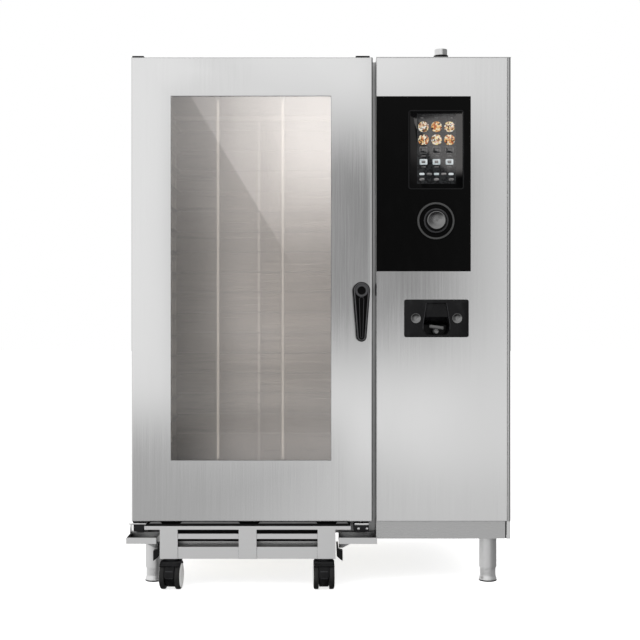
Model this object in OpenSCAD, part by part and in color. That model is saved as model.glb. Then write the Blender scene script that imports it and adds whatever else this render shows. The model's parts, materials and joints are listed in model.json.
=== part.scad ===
// Roll-in combi steamer oven with its rack trolley docked.
// Drawn in cabinet coordinates: x = 0 on the cabinet's centre line, y = 0 on the door's front
// face with +y towards the back, z = 0 on the floor. place() then moves everything so that the
// origin is on the floor under the middle of the overall envelope.

/* [Cabinet] */
// Width over the side panels
cab_w = 1290; // [1286:1:1300]
// Height of the roof above the floor
cab_top = 1796; // [1790:1:1810]
// Door front face to rear panel
cab_d = 940; // [930:1:950]
// Height of the cabinet's underside
cab_bottom = 158; // [156:1:160]
// Sheet thickness
sheet = 2; // [1.5:0.1:2]

/* [Door] */
// Width of the door
door_w = 821; // [817:1:823]
// Height of the door's lower edge
door_bottom = 220; // [220:1:224]
// Thickness of the door
door_t = 70; // [70:1:72]
// Gap between the door and the control column
column_gap = 12; // [11:1:16]
// Door border left of the window
border_left = 136; // [130:1:140]
// Door border right of the window
border_right = 142; // [139:1:145]
// Door border above the window
border_top = 131; // [125:1:140]
// Door border below the window
border_bottom = 207; // [200:1:212]

/* [Trolley] */
// Trolley centre line from the cabinet's centre line
trolley_x = -246; // [-247:1:-245]
// Number of tray levels
levels = 16; // [4:1:16]
// Height from one tray level to the next
pitch = 80; // [60:1:80]
// Height of the lowest tray level
first_level = 445; // [440:1:450]
// Radius of the castor wheels
wheel_r = 46; // [44:1:46]

/* [Controls] */
// Height of the selector knob's axis
knob_z = 1239; // [1235:1:1245]
// Height of the door handle's axis
handle_z = 1002; // [980:1:1020]
// Middle of the hand shower's dock
dock_z = 908.6; // [900:0.1:915]

/* [Hidden] */
$fn = 48;
SKIN = "gainsboro";
EDGE = "silver";
DARK = "dimgray";
BLACK = "#1c1c1e";

x_l = -cab_w / 2;
x_r = cab_w / 2;
door_top = cab_top - 2;
door_r = x_l + door_w;
column_x = door_r + column_gap;
frame_y = door_t + 12;          // face that the door's gasket seals against
back_y = cab_d;
win_l = x_l + border_left;
win_r = door_r - border_right;
win_b = door_bottom + border_bottom;
win_t = door_top - border_top;

// Cooking chamber, inside faces
mouth_half = 352;
mouth_l = trolley_x - mouth_half;
mouth_r = trolley_x + mouth_half;
chamber_r = 250;                // the chamber runs behind the column to hold the fans
chamber_back = 790;
chamber_floor = 265;
chamber_top = cab_top - 61;
recess_y = 112;                 // face behind the trolley's bulkhead

// Fans
fan_zs = [chamber_floor + 367, chamber_top - 367];
fan_y = 430;
fan_x = 185;
fan_r = 190;
fan_shaft_r = 10;
baffle_x = 112;
coil_r = 215;

// Door hinge, handle and latch
pin_x = x_l + 15;
pin_y = 20;
pin_r = 8;
run_gap = 0.05;                 // radial clearance of a running fit
handle_x = door_r - 40;
latch_y = 35;
latch_r = 6;
handle_r = 29;
handle_tip_r = 17;
handle_len = 155;               // from the handle's axis to the middle of its tip
handle_shaft_r = 9;             // the racks of the latch rods roll on this shaft
glass_seat = door_t - 6;

// Control column
panel_r = column_x + 320;
panel_b = cab_top - 728;
panel_t = cab_top - 134;
panel_t_mm = 4;
knob_x = column_x + 201.5;
screen_w = 180;
screen_h = 260;
screen_x = column_x + 202.5;
screen_z = knob_z + 241;
dock_x = column_x + 203.5;
dock_w = 219;
dock_h = 128;
shower_z = dock_z - 44.6;
reel_y = 320;
coil_hose_r = 80;
hose_r = 8;
reel_z = shower_z - coil_hose_r;
reel_shaft_r = 10;
shower_tilt = 8;
lever_pin_r = 2.5;
bulkhead_x = 286;

// Services at the back, and the flue on the roof
inlet_xs = [490, 560];
inlet_r = 13.2;                 // outside of a 3/4 inch thread
service_z = 300;
gland_x = 380;
cable_r = 9;
drain_y = 420;
drain_z = 190;
drain_r = 25;
service_end = back_y + 25;
stub_y = back_y + 1;            // where the stubs for the hoses begin
flue_at = [419, 120];
flue_r = 22;
flue_top = cab_top + 51;
vent_z = 1700;                  // height of the vent from the chamber to the flue
tank_at = [500, 640];
tank_r = 108;
steam_z = 1150;
steam_r = 14;

// Trolley
strap_half = 264.5;
strap_w = 60;
shelf_half = 346;
front_y = -50;
chassis_z = 102;
upright_half = 336;
tube = 16;
rack_front = 120;
rack_back = 680;
rack_top = chamber_top - 25;
rack_base = 285;
castor_y = -18;
castor_front_half = 255;
castor_rear_half = 200;
castor_rear_y = 640;
trail = 22;
tread_w = 18;
castor_half_w = 35;
chamfer = 3;
yaws = [-4, 1, 6, -4];          // front left, front right, rear left, rear right
axle_r = 5;
pedal_y = -trail - 28;
pedal_z = 66;
pedal_pin_r = 3;

legs_at = [for (x = [-579, 579], y = [92, back_y - 36]) [x, y]];
leg_r = 30;
tray_back = 60;                 // the drip tray ends in front of the legs
tray_over = 9;                  // how far the drip tray passes the cabinet's side

// The castor that reaches furthest forward sets the front of the envelope.
function wheel_front(a) = max(
    (trail + wheel_r) * cos(a) + (castor_half_w - chamfer) * abs(sin(a)),
    (trail + wheel_r - chamfer) * cos(a) + castor_half_w * abs(sin(a)));
front_extent = castor_y - max(wheel_front(yaws[0]), wheel_front(yaws[1]));
shift = [tray_over / 2, -(service_end + front_extent) / 2, 0];

// ---- helpers ----

// Box from one corner to the opposite one
module box(a, b) translate(a) cube(b - a);

// Round bar from point p, along a main axis
module rod_x(p, len, r) translate(p) rotate([0, 90, 0]) cylinder(r = r, h = len);
module rod_y(p, len, r) translate(p) rotate([-90, 0, 0]) cylinder(r = r, h = len);
module rod_z(p, len, r) translate(p) cylinder(r = r, h = len);

// Plan of a folded pan whose front corners are rounded
module pan_plan(x1, x2, depth, r) {
    translate([x1, r]) square([x2 - x1, depth - r]);
    translate([x1 + r, 0]) square([x2 - x1 - 2 * r, r]);
    for (x = [x1 + r, x2 - r]) translate([x, r]) circle(r);
}

// Plate in the xz plane with rounded corners, from y1 back to y2
module rounded_plate(x1, x2, z1, z2, y1, y2, r) {
    box([x1 + r, y1, z1], [x2 - r, y2, z2]);
    box([x1, y1, z1 + r], [x2, y2, z2 - r]);
    for (x = [x1 + r, x2 - r], z = [z1 + r, z2 - r]) rod_y([x, y1, z], y2 - y1, r);
}

// ---- cabinet ----

module base_frame() color(EDGE) {
    top = door_bottom;
    rail = 40;
    rear = back_y - 10;
    difference() {
        union() {
            box([x_l + 4, 130, cab_bottom], [column_x + 42, 130 + rail, top]);
            box([column_x + 2, 20, cab_bottom], [x_r - 24, 20 + rail, top]);
            box([x_l + 4, rear - rail, cab_bottom], [x_r - 24, rear, top]);
            for (x = [x_l + 4, column_x + 2, x_r - rail - 24])
                box([x, x < 0 ? 130 : 20, cab_bottom], [x + rail, rear, top]);
            // Leg tubes, each under a pad welded to the rails
            for (p = legs_at) {
                pad_y = p.y < rear / 2 ? [85, 165] : [p.y - leg_r, p.y + leg_r];
                rod_z([p.x, p.y, 48], cab_bottom - 48, leg_r);
                box([p.x - 42, pad_y[0], cab_bottom], [p.x + 42, pad_y[1], cab_bottom + 4]);
            }
        }
        rod_y([trolley_x, rear - 2 * rail, drain_z], 3 * rail, drain_r + 1);
        for (p = legs_at) rod_z([p.x, p.y, 40], 92, 27.2);
    }
}

module feet() color(EDGE) for (p = legs_at) {
    rod_z([p.x, p.y, 18], 110, 27);
    rod_z([p.x, p.y, 0], 8, 31);
    translate([p.x, p.y, 8]) cylinder(r1 = 31, r2 = 27, h = 10);
}

module chamber() color(SKIN) difference() {
    box([mouth_l - sheet, frame_y + sheet, chamber_floor - sheet],
        [chamber_r + sheet, chamber_back + sheet, chamber_top + sheet]);
    box([mouth_l, frame_y + 2 * sheet, chamber_floor], [chamber_r, chamber_back, chamber_top]);
    box([mouth_l, frame_y, chamber_floor], [mouth_r, frame_y + 10, chamber_top]);
    box([mouth_l, frame_y, chamber_floor - 5], [mouth_r, recess_y + sheet, chamber_floor + 1]);
    rod_z([trolley_x, drain_y, chamber_floor - 5], 10, 25);
    for (z = fan_zs) {
        rod_x([chamber_r - 5, fan_y, z], 12, 12);
        for (y = [-30, 30]) rod_x([chamber_r - 5, fan_y + y, z + coil_r], 12, 8);
    }
    rod_x([chamber_r - 5, tank_at.y, steam_z], 12, steam_r + 1);
    rod_x([chamber_r - 5, flue_at.y, vent_z], 12, flue_r - sheet);
}

module insulation() color("khaki") difference() {
    box([x_l + 8, recess_y + 22, door_bottom + 3],
        [chamber_r + 34, chamber_back + 56, cab_top - 6]);
    box([mouth_l - sheet, 0, chamber_floor - sheet],
        [chamber_r + sheet, chamber_back + sheet, chamber_top + sheet]);
    rod_z([trolley_x, drain_y, 200], 80, 34);
    for (z = fan_zs) {
        rod_x([chamber_r, fan_y, z], 60, 20);
        for (y = [-30, 30]) rod_x([chamber_r, fan_y + y, z + coil_r], 60, 10);
    }
    rod_x([chamber_r, tank_at.y, steam_z], 60, steam_r + 6);
    rod_x([chamber_r, flue_at.y, vent_z], 60, flue_r + 2);
}

// Sheet wall between the insulation and the service compartment
module service_bulkhead() color(EDGE) difference() {
    union() {
        box([bulkhead_x, 100, door_bottom], [bulkhead_x + sheet, back_y - 10, door_top - 6]);
        // Shelf under the steam generator
        box([bulkhead_x, 540, door_bottom], [x_r - 6, 740, door_bottom + sheet]);
        // Bearing of the hose reel
        rod_x([bulkhead_x, reel_y, reel_z], dock_x - 36 - bulkhead_x, 24);
    }
    rod_x([bulkhead_x - 1, reel_y, reel_z], 200, reel_shaft_r + run_gap);
    for (z = fan_zs) rod_x([bulkhead_x - 1, fan_y, z], 5, 20);
    rod_x([bulkhead_x - 1, tank_at.y, steam_z], 5, steam_r + 2);
    rod_x([bulkhead_x - 1, flue_at.y, vent_z], 5, flue_r + 2);
}

module front_frame() color(SKIN) {
    rail_b = cab_bottom + 4;
    difference() {
        box([x_l, frame_y, cab_bottom], [column_x, frame_y + sheet, door_top]);
        box([mouth_l, 0, cab_bottom - 1], [mouth_r, 200, chamber_top]);
    }
    // Recessed rail that the trolley's bulkhead closes against
    box([mouth_l - sheet, recess_y, rail_b],
        [mouth_r + sheet, recess_y + sheet, chamber_floor - sheet]);
    for (x = [mouth_l - sheet, mouth_r])
        box([x, frame_y + sheet, rail_b], [x + sheet, recess_y, chamber_floor - sheet]);
}

module door_gasket() color(DARK) {
    w = 11;
    y1 = door_t + 0.3;
    b = door_bottom + 5;
    for (x = [mouth_l - 1 - w, mouth_r + 1]) box([x, y1, b], [x + w, frame_y, chamber_top + 1 + w]);
    box([mouth_l - 1, y1, chamber_top + 1], [mouth_r + 1, frame_y, chamber_top + 1 + w]);
}

module left_side_panel() color(SKIN) {
    box([x_l, frame_y + sheet, cab_bottom], [x_l + sheet, back_y - sheet, door_top]);
    for (y = [frame_y + sheet, back_y - 2 * sheet])
        box([x_l, y, door_bottom + 4], [x_l + 7, y + sheet, door_top]);
}

module right_side_panel() color(SKIN) {
    r = 10;
    // Wrapped front corner
    translate([0, 0, door_bottom]) linear_extrude(door_top - door_bottom) {
        difference() {
            translate([x_r - r, r]) circle(r);
            translate([x_r - r, r]) circle(r - sheet);
            translate([x_r - 3 * r, 0]) square([2 * r, 3 * r]);
            translate([x_r - r, r]) square(2 * r);
        }
        translate([x_r - r - 2, 0]) square([2, sheet]);
    }
    box([x_r - sheet, r, door_bottom], [x_r, back_y - sheet, door_top]);
    box([x_r - sheet, 15, cab_bottom], [x_r, back_y - sheet, door_bottom]);
    box([x_r - 13, 15, cab_bottom], [x_r, 15 + sheet, door_bottom]);
    box([x_r - 10, back_y - 2 * sheet, door_bottom + 4], [x_r, back_y - sheet, door_top]);
}

module rear_panel() color(SKIN) difference() {
    box([x_l, back_y - sheet, cab_bottom], [x_r, back_y, door_top]);
    for (x = [-350, 0, 350], i = [0 : 11])
        box([x + 90, back_y - 10, 1400 + 22 * i], [x + 210, back_y + 10, 1408 + 22 * i]);
    for (x = inlet_xs) rod_y([x, back_y - 10, service_z], 20, inlet_r + 0.8);
    rod_y([gland_x, back_y - 10, service_z], 20, cable_r + 3.5);
    rod_y([trolley_x, back_y - 10, drain_z], 20, drain_r + 1);
}

module roof_panel() color(SKIN) difference() {
    union() {
        box([x_l, frame_y, door_top], [x_r, back_y, cab_top]);
        box([column_x, 0, door_top], [x_r, frame_y + 1, cab_top]);
    }
    rod_z([flue_at.x, flue_at.y, door_top - 1], 10, flue_r + 0.4);
}

module column_front() color(SKIN) difference() {
    union() {
        box([column_x, 0, door_bottom], [x_r - 12.5, sheet, door_top]);
        box([column_x, 0, door_bottom], [column_x + sheet, frame_y + sheet, door_top]);
        box([column_x, frame_y, door_bottom], [column_x + 20, frame_y + sheet, door_top]);
    }
    box([column_x + 30, -1, panel_b + 30], [panel_r - 12, sheet + 1, panel_t - 22]);
    box([dock_x - 98, -1, dock_z - 59], [dock_x + 98, sheet + 1, dock_z + 56]);
}

module plinth() color(EDGE) {
    box([column_x + 2, 17, cab_bottom], [x_r - 17, 19, door_bottom - 1]);
    box([column_x, 17, cab_bottom], [column_x + 2, frame_y + 30, door_bottom - 1]);
}

module fan_baffle() color(EDGE) difference() {
    union() {
        box([baffle_x, 96, chamber_floor + 20],
            [baffle_x + sheet, chamber_back - 10, chamber_top - 20]);
        for (z = [chamber_floor + 20, chamber_top - 22])
            box([baffle_x, 96, z], [baffle_x + 12, chamber_back - 10, z + sheet]);
    }
    for (fz = fan_zs, i = [-6 : 6]) {
        half = sqrt(160 * 160 - pow(24 * i, 2));
        box([baffle_x - 1, fan_y - half, fz + 24 * i - 6],
            [baffle_x + sheet + 1, fan_y + half, fz + 24 * i + 6]);
    }
}

// ---- inside the chamber's right-hand end and the column ----

module ring_x(r, t) rotate([0, 90, 0]) rotate_extrude() translate([r, 0]) circle(t, $fn = 24);

module heating_coils() color(DARK) for (z = fan_zs) translate([0, fan_y, z]) {
    for (x = [160, 176, 192]) translate([x, 0, 0]) ring_x(coil_r, 5);
    box([158, -4, coil_r - 4], [194, 4, coil_r + 4]);
    for (y = [-30, 30]) rod_x([190, y, coil_r], 90, 5.5);
}

module fan_wheel(z) color("silver") translate([0, fan_y, z]) {
    blades = 18;
    rod_x([fan_x + 33, 0, 0], 2, fan_r);
    difference() {
        rod_x([fan_x - 35, 0, 0], 3, fan_r);
        rod_x([fan_x - 36, 0, 0], 5, fan_r - 14);
    }
    rod_x([fan_x - 10, 0, 0], 45, 26);
    rod_x([fan_x + 33, 0, 0], 102, fan_shaft_r);
    for (i = [0 : blades - 1]) rotate([i * 360 / blades, 0, 0])
        box([fan_x - 35, -1, 120], [fan_x + 34, 1, fan_r - 2]);
}

module fan_motors() color(DARK) for (z = fan_zs) translate([0, fan_y, z]) difference() {
    union() {
        rod_x([290, 0, 0], 160, 62);
        rod_x([288, 0, 0], 8, 78);
        rod_x([450, 0, 0], 14, 52);
    }
    rod_x([280, 0, 0], 45, fan_shaft_r + run_gap);
}

module steam_generator() color(EDGE) {
    x = tank_at.x;
    y = tank_at.y;
    tank_b = 250;
    tank_t = 750;
    rod_z([x, y, tank_b], tank_t - tank_b, tank_r);
    rod_z([x, y, door_bottom + sheet], tank_b - door_bottom - sheet, tank_r - 16);
    rod_z([x, y, tank_t], 14, tank_r - 16);
    // Steam pipe: up from the tank, then across to the chamber
    rod_z([x, y, tank_t + 10], steam_z + steam_r - tank_t - 10, steam_r);
    rod_x([chamber_r + 3, y, steam_z], x - chamber_r - 3, steam_r);
    // Flanges of the three immersion heaters
    for (z = [330, 420, 510]) rod_y([x, y - 140, z], 60, 20);
}

module service_connections() color("silver") {
    // Solenoid valves of the two water inlets, with their hose stubs
    for (x = inlet_xs) {
        rod_y([x, stub_y, service_z], service_end - stub_y, inlet_r);
        rod_y([x, back_y - 30, service_z], stub_y - back_y + 30, inlet_r - 2);
        box([x - 22, back_y - 84, service_z - 22], [x + 22, back_y - 28, service_z + 22]);
    }
    // Cable gland
    difference() {
        union() {
            rod_y([gland_x, back_y - 20, service_z], 42, cable_r + 3);
            translate([gland_x, back_y, service_z]) rotate([-90, 0, 0])
                cylinder(r = 2 * cable_r, h = 8, $fn = 6);
        }
        rod_y([gland_x, back_y - 30, service_z], 60, cable_r);
    }
}

module drain_pipe() color(DARK) {
    pipe_r = drain_r - 1;
    bore_r = drain_r - 3;
    difference() {
        union() {
            rod_z([trolley_x, drain_y, drain_z], chamber_floor - sheet - drain_z, pipe_r);
            rod_z([trolley_x, drain_y, chamber_floor - 6], 4, drain_r + 7);
            rod_y([trolley_x, drain_y, drain_z], service_end - drain_y, pipe_r);
            rod_y([trolley_x, stub_y, drain_z], service_end - stub_y, drain_r);
            translate([trolley_x, drain_y, drain_z]) sphere(pipe_r);
        }
        rod_z([trolley_x, drain_y, drain_z], 100, bore_r);
        rod_y([trolley_x, drain_y, drain_z], 600, bore_r);
    }
}

module exhaust_pipe() {
    x = flue_at.x;
    y = flue_at.y;
    bore_r = flue_r - sheet;
    color("silver") difference() {
        union() {
            rod_z([x, y, vent_z], flue_top - vent_z, flue_r);
            translate([x, y, vent_z]) sphere(flue_r);
            rod_x([chamber_r + sheet, y, vent_z], x - chamber_r - sheet, flue_r);
        }
        rod_z([x, y, vent_z], 200, bore_r);
        rod_x([chamber_r - 5, y, vent_z], x - chamber_r + 5, bore_r);
    }
    // Rubber collar on the roof
    color(BLACK) difference() {
        rod_z([x, y, cab_top], 30, flue_r + 3);
        rod_z([x, y, cab_top - 1], 40, flue_r);
    }
}

module control_panel() color(BLACK) {
    difference() {
        union() {
            box([column_x, -panel_t_mm, panel_b], [panel_r, 0, panel_t]);
            box([column_x + 34, 0, panel_b + 34], [panel_r - 16, 26, panel_t - 26]);
        }
        box([column_x + 37, 3, panel_b + 37], [panel_r - 19, 30, panel_t - 29]);
        box([screen_x - screen_w / 2 - 1, -10, screen_z - screen_h / 2 - 1],
            [screen_x + screen_w / 2 + 1, 10, screen_z + screen_h / 2 + 1]);
        rod_y([knob_x, -10, knob_z], 20, 6.5);
    }
    difference() {
        rod_y([knob_x, -panel_t_mm - 4, knob_z], 4, 63);
        rod_y([knob_x, -panel_t_mm - 5, knob_z], 6, 56);
    }
}

module touchscreen() color("#101318") {
    x = screen_x;
    box([x - screen_w / 2, -panel_t_mm - 0.5, screen_z - screen_h / 2],
        [x + screen_w / 2, 2.5, screen_z + screen_h / 2]);
    box([x - 80, 2.5, screen_z - 120], [x + 80, 20, screen_z + 120]);
}

module control_board() color("darkgreen") {
    box([column_x + 52, 40, panel_b + 42], [panel_r - 20, 42, panel_t - 42]);
    for (i = [0 : 3]) translate([column_x + 70, 42, panel_b + 70 + 120 * i]) cube([60, 18, 50]);
    // Spacers that hold it to the panel
    for (x = [column_x + 55, panel_r - 25], z = [panel_b + 46, panel_t - 50])
        rod_y([x, 26, z], 14, 3);
}

// Outline of the dock's trough, x and z from the middle of the dock
trough_side = [[34, 52], [42, -4], [47, -40], [38, -60]];
trough_points = concat(trough_side, [for (i = [3 : -1 : 0]) [-trough_side[i].x, trough_side[i].y]]);

module trough(grow)
    polygon([for (p = trough_points) [p.x + grow * sign(p.x), p.y + grow * sign(p.y)]]);

module along_y(y1, y2)
    translate([dock_x, y2, dock_z]) rotate([90, 0, 0]) linear_extrude(y2 - y1) children();

module dock_plate() {
    dock_shell();
    dock_caps();
}

module dock_shell() color(BLACK) difference() {
    union() {
        rounded_plate(dock_x - dock_w / 2, dock_x + dock_w / 2,
            dock_z - dock_h / 2, dock_z + dock_h / 2, -5, 0, 7);
        intersection() {
            along_y(0, 62) trough(2);
            box([dock_x - 60, 0, dock_z - 55.5], [dock_x + 60, 70, dock_z + 70]);
        }
        along_y(0, 62) difference() {
            trough(2);
            translate([-60, -100]) square([120, 44.5]);
        }
    }
    intersection() {
        along_y(-6, 60) trough(0);
        box([dock_x - 60, -6, dock_z - 57.5], [dock_x + 60, 60, dock_z + 70]);
    }
    rod_y([dock_x, 50, shower_z], 30, hose_r + 1.5);
    for (s = [-1, 1]) rod_y([dock_x + 70 * s, -6, dock_z], 20, 10.2);
}

module dock_caps() color(DARK) for (s = [-1, 1]) {
    rod_y([dock_x + 70 * s, -8, dock_z], 3, 17);
    rod_y([dock_x + 70 * s, -5, dock_z], 18, 10);
}

module hinge_brackets() color(BLACK) {
    box([x_l + 3, 8, cab_top], [x_l + 42, 112, cab_top + 5]);
    rod_z([pin_x, pin_y, cab_top - 32], 34, pin_r);
    box([x_l + 7, 6, 184], [x_l + 42, frame_y, door_bottom - 6]);
    rod_z([pin_x, pin_y, door_bottom - 7], 37, pin_r);
    rod_z([pin_x, pin_y, door_bottom - 7], 6.5, 13);
}

module latch_strikes() color(BLACK) {
    difference() {
        box([handle_x - 18, 14, cab_top], [handle_x + 30, 112, cab_top + 7]);
        box([handle_x - 9, 0, cab_top - 1], [handle_x + 9, latch_y + 12, cab_top + 5]);
    }
    difference() {
        box([handle_x - 25, 10, 184], [handle_x + 27, frame_y, door_bottom - 6.5]);
        box([handle_x - 9, 0, 204], [handle_x + 9, latch_y + 12, door_bottom]);
    }
}

// One wing of the tray that catches drips from the open door
module tray_wing(x1, x2) {
    front = -49;
    bottom = 152;
    top = 173;
    difference() {
        box([x1, front, bottom], [x2, tray_back, top]);
        box([x1 + sheet, front + sheet, bottom + sheet], [x2 - sheet, tray_back - sheet, top + 1]);
    }
    // Flange that fixes it to the front frame
    box([x1, tray_back - sheet, top - sheet], [x2, frame_y, top]);
}

module drip_tray() color(EDGE) for (s = [-1, 1]) {
    inner = trolley_x + s * 306;
    outer = s < 0 ? x_l - tray_over : column_x;
    tray_wing(min(inner, outer), max(inner, outer));
    // Gusset that braces the docking guide
    translate([0, 3, 0]) rotate([90, 0, 0]) linear_extrude(3)
        polygon([[inner, 152], [inner + s * 56, 152], [inner + s * 14, 130], [inner, 130]]);
}

// Plastic guides that centre the trolley, with lead-in flats at their lower ends
guide_outline = [[297, 152], [303, 152], [305, 130], [319, 126], [319, 92], [310, 98], [299, 108]];

module docking_guides() color(BLACK) for (s = [-1, 1]) translate([trolley_x, 0, 0])
    rotate([90, 0, 0]) linear_extrude(36) polygon([for (p = guide_outline) [s * p.x, p.y]]);

// ---- door ----

module door_skin() color(SKIN) difference() {
    h = door_top - door_bottom;
    translate([0, 0, door_bottom]) linear_extrude(h) pan_plan(x_l, door_r, 45, 6);
    translate([0, 0, door_bottom + sheet]) linear_extrude(h - 2 * sheet)
        translate([0, sheet]) pan_plan(x_l + sheet, door_r - sheet, 50, 4);
    box([win_l, -1, win_b], [win_r, sheet + 1, win_t]);
    for (z = [door_top - 5, door_bottom - 5]) {
        rod_z([pin_x, pin_y, z], 10, 13.5);
        rod_z([handle_x, latch_y, z], 10, latch_r + 1);
    }
    rod_y([handle_x, -1, handle_z], 5, handle_shaft_r + run_gap);
}

module door_liner() color(EDGE) difference() {
    box([x_l + 4, 45.2, door_bottom + 4], [door_r - 4, door_t, door_top - 4]);
    box([x_l + 6, 45, door_bottom + 6], [door_r - 6, 61, door_top - 6]);
    // Recess that the inner glass sits in, and the opening behind it
    box([win_l - 40, glass_seat, win_b - 40], [win_r + 40, door_t + 1, win_t + 40]);
    box([win_l - 26, 50, win_b - 25], [win_r + 26, door_t + 1, win_t + 27]);
}

module outer_glass() color("gray", 0.4)
    box([win_l - 10, sheet + 0.2, win_b - 10], [win_r + 10, 8, win_t + 10]);

module inner_glass() color("gray", 0.4)
    box([win_l - 39, glass_seat, win_b - 39], [win_r + 39, door_t - 1, win_t + 39]);

// Clips that hold the inner glass in the liner
module glass_clips() color(EDGE) for (z = [win_b + 40, win_b + 600, win_t - 80], s = [-1, 1]) {
    edge = s < 0 ? win_l - 39 : win_r + 39;
    over = edge + 13 * s;
    grip = edge - 7 * s;
    box([min(over, grip), door_t, z], [max(over, grip), door_t + 3, z + 40]);
    box([min(edge, grip), door_t - 1, z], [max(edge, grip), door_t, z + 40]);
}

module door_lamps() color("lavenderblush") for (x = [win_l - 24, win_r + 13])
    box([x, 14, win_b + 14], [x + 10, 24, win_t - 14]);

module hinge_bushes() color(BLACK) for (z = [door_bottom + 4, door_top - 32]) difference() {
    box([x_l + 3, 5, z], [x_l + 33, 38, z + 26]);
    rod_z([pin_x, pin_y, z - 1], 28, pin_r + run_gap);
}

module door_handle() color(BLACK) {
    // Lever: wide at the axis, narrow at the tip
    hull() {
        rod_y([handle_x, -56, handle_z], 22, handle_r, $fn = 32);
        rod_y([handle_x, -50, handle_z - handle_len], 14, handle_tip_r, $fn = 32);
    }
    rod_y([handle_x, -34, handle_z], 33, 22);
    rod_y([handle_x, -2, handle_z], 52, handle_shaft_r);
}

// Rod that runs up from the handle's shaft, or down from it when turned by 180 degrees. Its
// rack passes the shaft on the side that pulls the rod back into the door.
module latch_rod(turn, reach) color("silver")
    translate([handle_x, latch_y, handle_z]) rotate([0, turn, 0]) {
        near = handle_shaft_r + 0.3;
        far = near + 6;
        rod_z([0, 0, 30], reach - 30, latch_r);
        box([-6, -6, 30], [far, 6, 40]);
        box([near, -6, -12], [far, 6, 40]);
    }

// ---- controls ----

module selector_shaft() color("silver") {
    rod_y([knob_x, -20, knob_z], 46, 6);
    rod_y([knob_x, 12, knob_z], 4, 9);
}

module selector_knob() color(DARK) difference() {
    union() {
        rod_y([knob_x, -16, knob_z], 9, 42);
        rod_y([knob_x, -32, knob_z], 17, 31);
    }
    rod_y([knob_x, -21, knob_z], 20, 6 + run_gap);
    translate([knob_x, -112, knob_z]) sphere(84, $fn = 96);
}

// The shower hangs slightly turned in its dock, about the axis of its hose
module at_shower() translate([dock_x, 0, shower_z]) rotate([0, shower_tilt, 0]) children();

module hand_shower() color(DARK) at_shower() {
    difference() {
        rod_y([0, 8, 0], 46, 12);
        // Room for the lever's bar and its arm
        box([-30, 11, 2], [30, 24, 30]);
        box([-7, 10, 4], [7, 60, 30]);
    }
    rod_y([0, 0, 0], 10, 8);
    rod_y([0, 50, 0], reel_y - 58, hose_r);
    for (s = [-1, 1]) box([s * 9 - 2, 40, 0], [s * 9 + 2, 52, 19]);
    rod_x([-10, 46, 13], 20, lever_pin_r);
}

module shower_lever() color(DARK) at_shower() difference() {
    union() {
        box([-25, 12, 8.5], [25, 21, 18.5]);
        box([-5.5, 20, 10], [5.5, 50, 17]);
    }
    rod_x([-6, 46, 13], 12, lever_pin_r + run_gap);
}

module hose_reel() color(DARK) translate([dock_x, reel_y, reel_z]) {
    for (x = [-31, 28]) rod_x([x, 0, 0], 3, 100);
    rod_x([-28, 0, 0], 56, coil_hose_r - hose_r);
    rod_x([-100, 0, 0], 135, reel_shaft_r);
    for (x = [-18, 18]) translate([x, 0, 0]) ring_x(coil_hose_r - 1, hose_r);
}

// ---- trolley ----

module trolley_chassis() {
    rolling_frame();
    trolley_front();
}

module rolling_frame() color(EDGE) translate([trolley_x, 0, chassis_z]) {
    box([-294, front_y + 3, 0], [294, 13, 40]);
    box([-294, 13, 0], [294, 16, 48]);
    for (s = [-1, 1]) box([s * 230 - 20, 16, 0], [s * 230 + 20, 680, 40]);
    box([-250, castor_rear_y - 40, 0], [250, castor_rear_y + 40, 30]);
    // Tie bar between the straps
    box([-294, front_y + 3, 66.5], [294, front_y + 13, 84]);
}

module trolley_front() color(EDGE) translate([trolley_x, 0, 0]) {
    // Straps that carry the rack from the chassis
    for (x = [-strap_half, 0, strap_half])
        box([x - strap_w / 2, front_y, chassis_z], [x + strap_w / 2, front_y + 3, 202]);
    // Shelf that passes under the door, with its front lip
    box([-shelf_half, front_y, 209], [shelf_half, 105, 212]);
    box([-shelf_half, front_y, 200], [shelf_half, front_y + 3, 212]);
    // Bulkhead that closes the chamber behind the door
    box([-shelf_half, 102, 209], [shelf_half, 105, 300]);
}

module rack_frame() color("silver") translate([trolley_x, 0, 0]) {
    h = tube / 2;
    mid = upright_half;
    for (s = [-1, 1]) {
        for (y = [rack_front, rack_back - tube])
            box([s * mid - h, y, rack_base], [s * mid + h, y + tube, rack_top]);
        // The lower side rails reach forward to the trolley's bulkhead
        box([s * mid - h, 105, rack_base], [s * mid + h, rack_back, rack_base + tube]);
        box([s * mid - h, rack_front, rack_top - tube], [s * mid + h, rack_back, rack_top]);
    }
    for (y = [rack_front, rack_back - tube], z = [rack_base, rack_top - tube])
        box([-mid, y, z], [mid, y + tube, z + tube]);
    // Upright behind the middle of the trays, welded to the back of the rails
    box([-5, rack_back - 1, rack_base], [5, rack_back + 9, rack_top]);
    // Cross rail that the tray stop hooks over, and the ledges under the drip pan
    box([-mid, rack_front, 397], [mid, rack_front + 10, 405]);
    for (s = [-1, 1])
        box([min(s * 316, s * 330), rack_front, 326], [max(s * 316, s * 330), rack_back, 328]);
}

// Section of an angle that carries the trays: x from the rack's centre line, z from the tray's height
runner_section = [[306, 0], [328, 0], [328, -18], [326.5, -18], [326.5, -1.5], [306, -1.5]];

module tray_runners() color("silver") translate([trolley_x, 0, 0]) for (i = [0 : levels - 1]) {
    z = first_level + pitch * i;
    for (s = [-1, 1]) translate([0, rack_back - 1, z]) rotate([90, 0, 0])
        linear_extrude(rack_back - rack_front - 2)
            polygon([for (p = runner_section) [s * p.x, p.y]]);
    // Rear stop that keeps a tray from sliding off the back
    rod_x([-upright_half + tube / 2, rack_back - 5, z + 8], 2 * upright_half - tube, 3);
}

module rack_drip_pan() color(EDGE) translate([trolley_x, 0, 0]) difference() {
    box([-320, 140, 328], [320, 660, 350]);
    box([-318, 142, 330], [318, 658, 360]);
}

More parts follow.
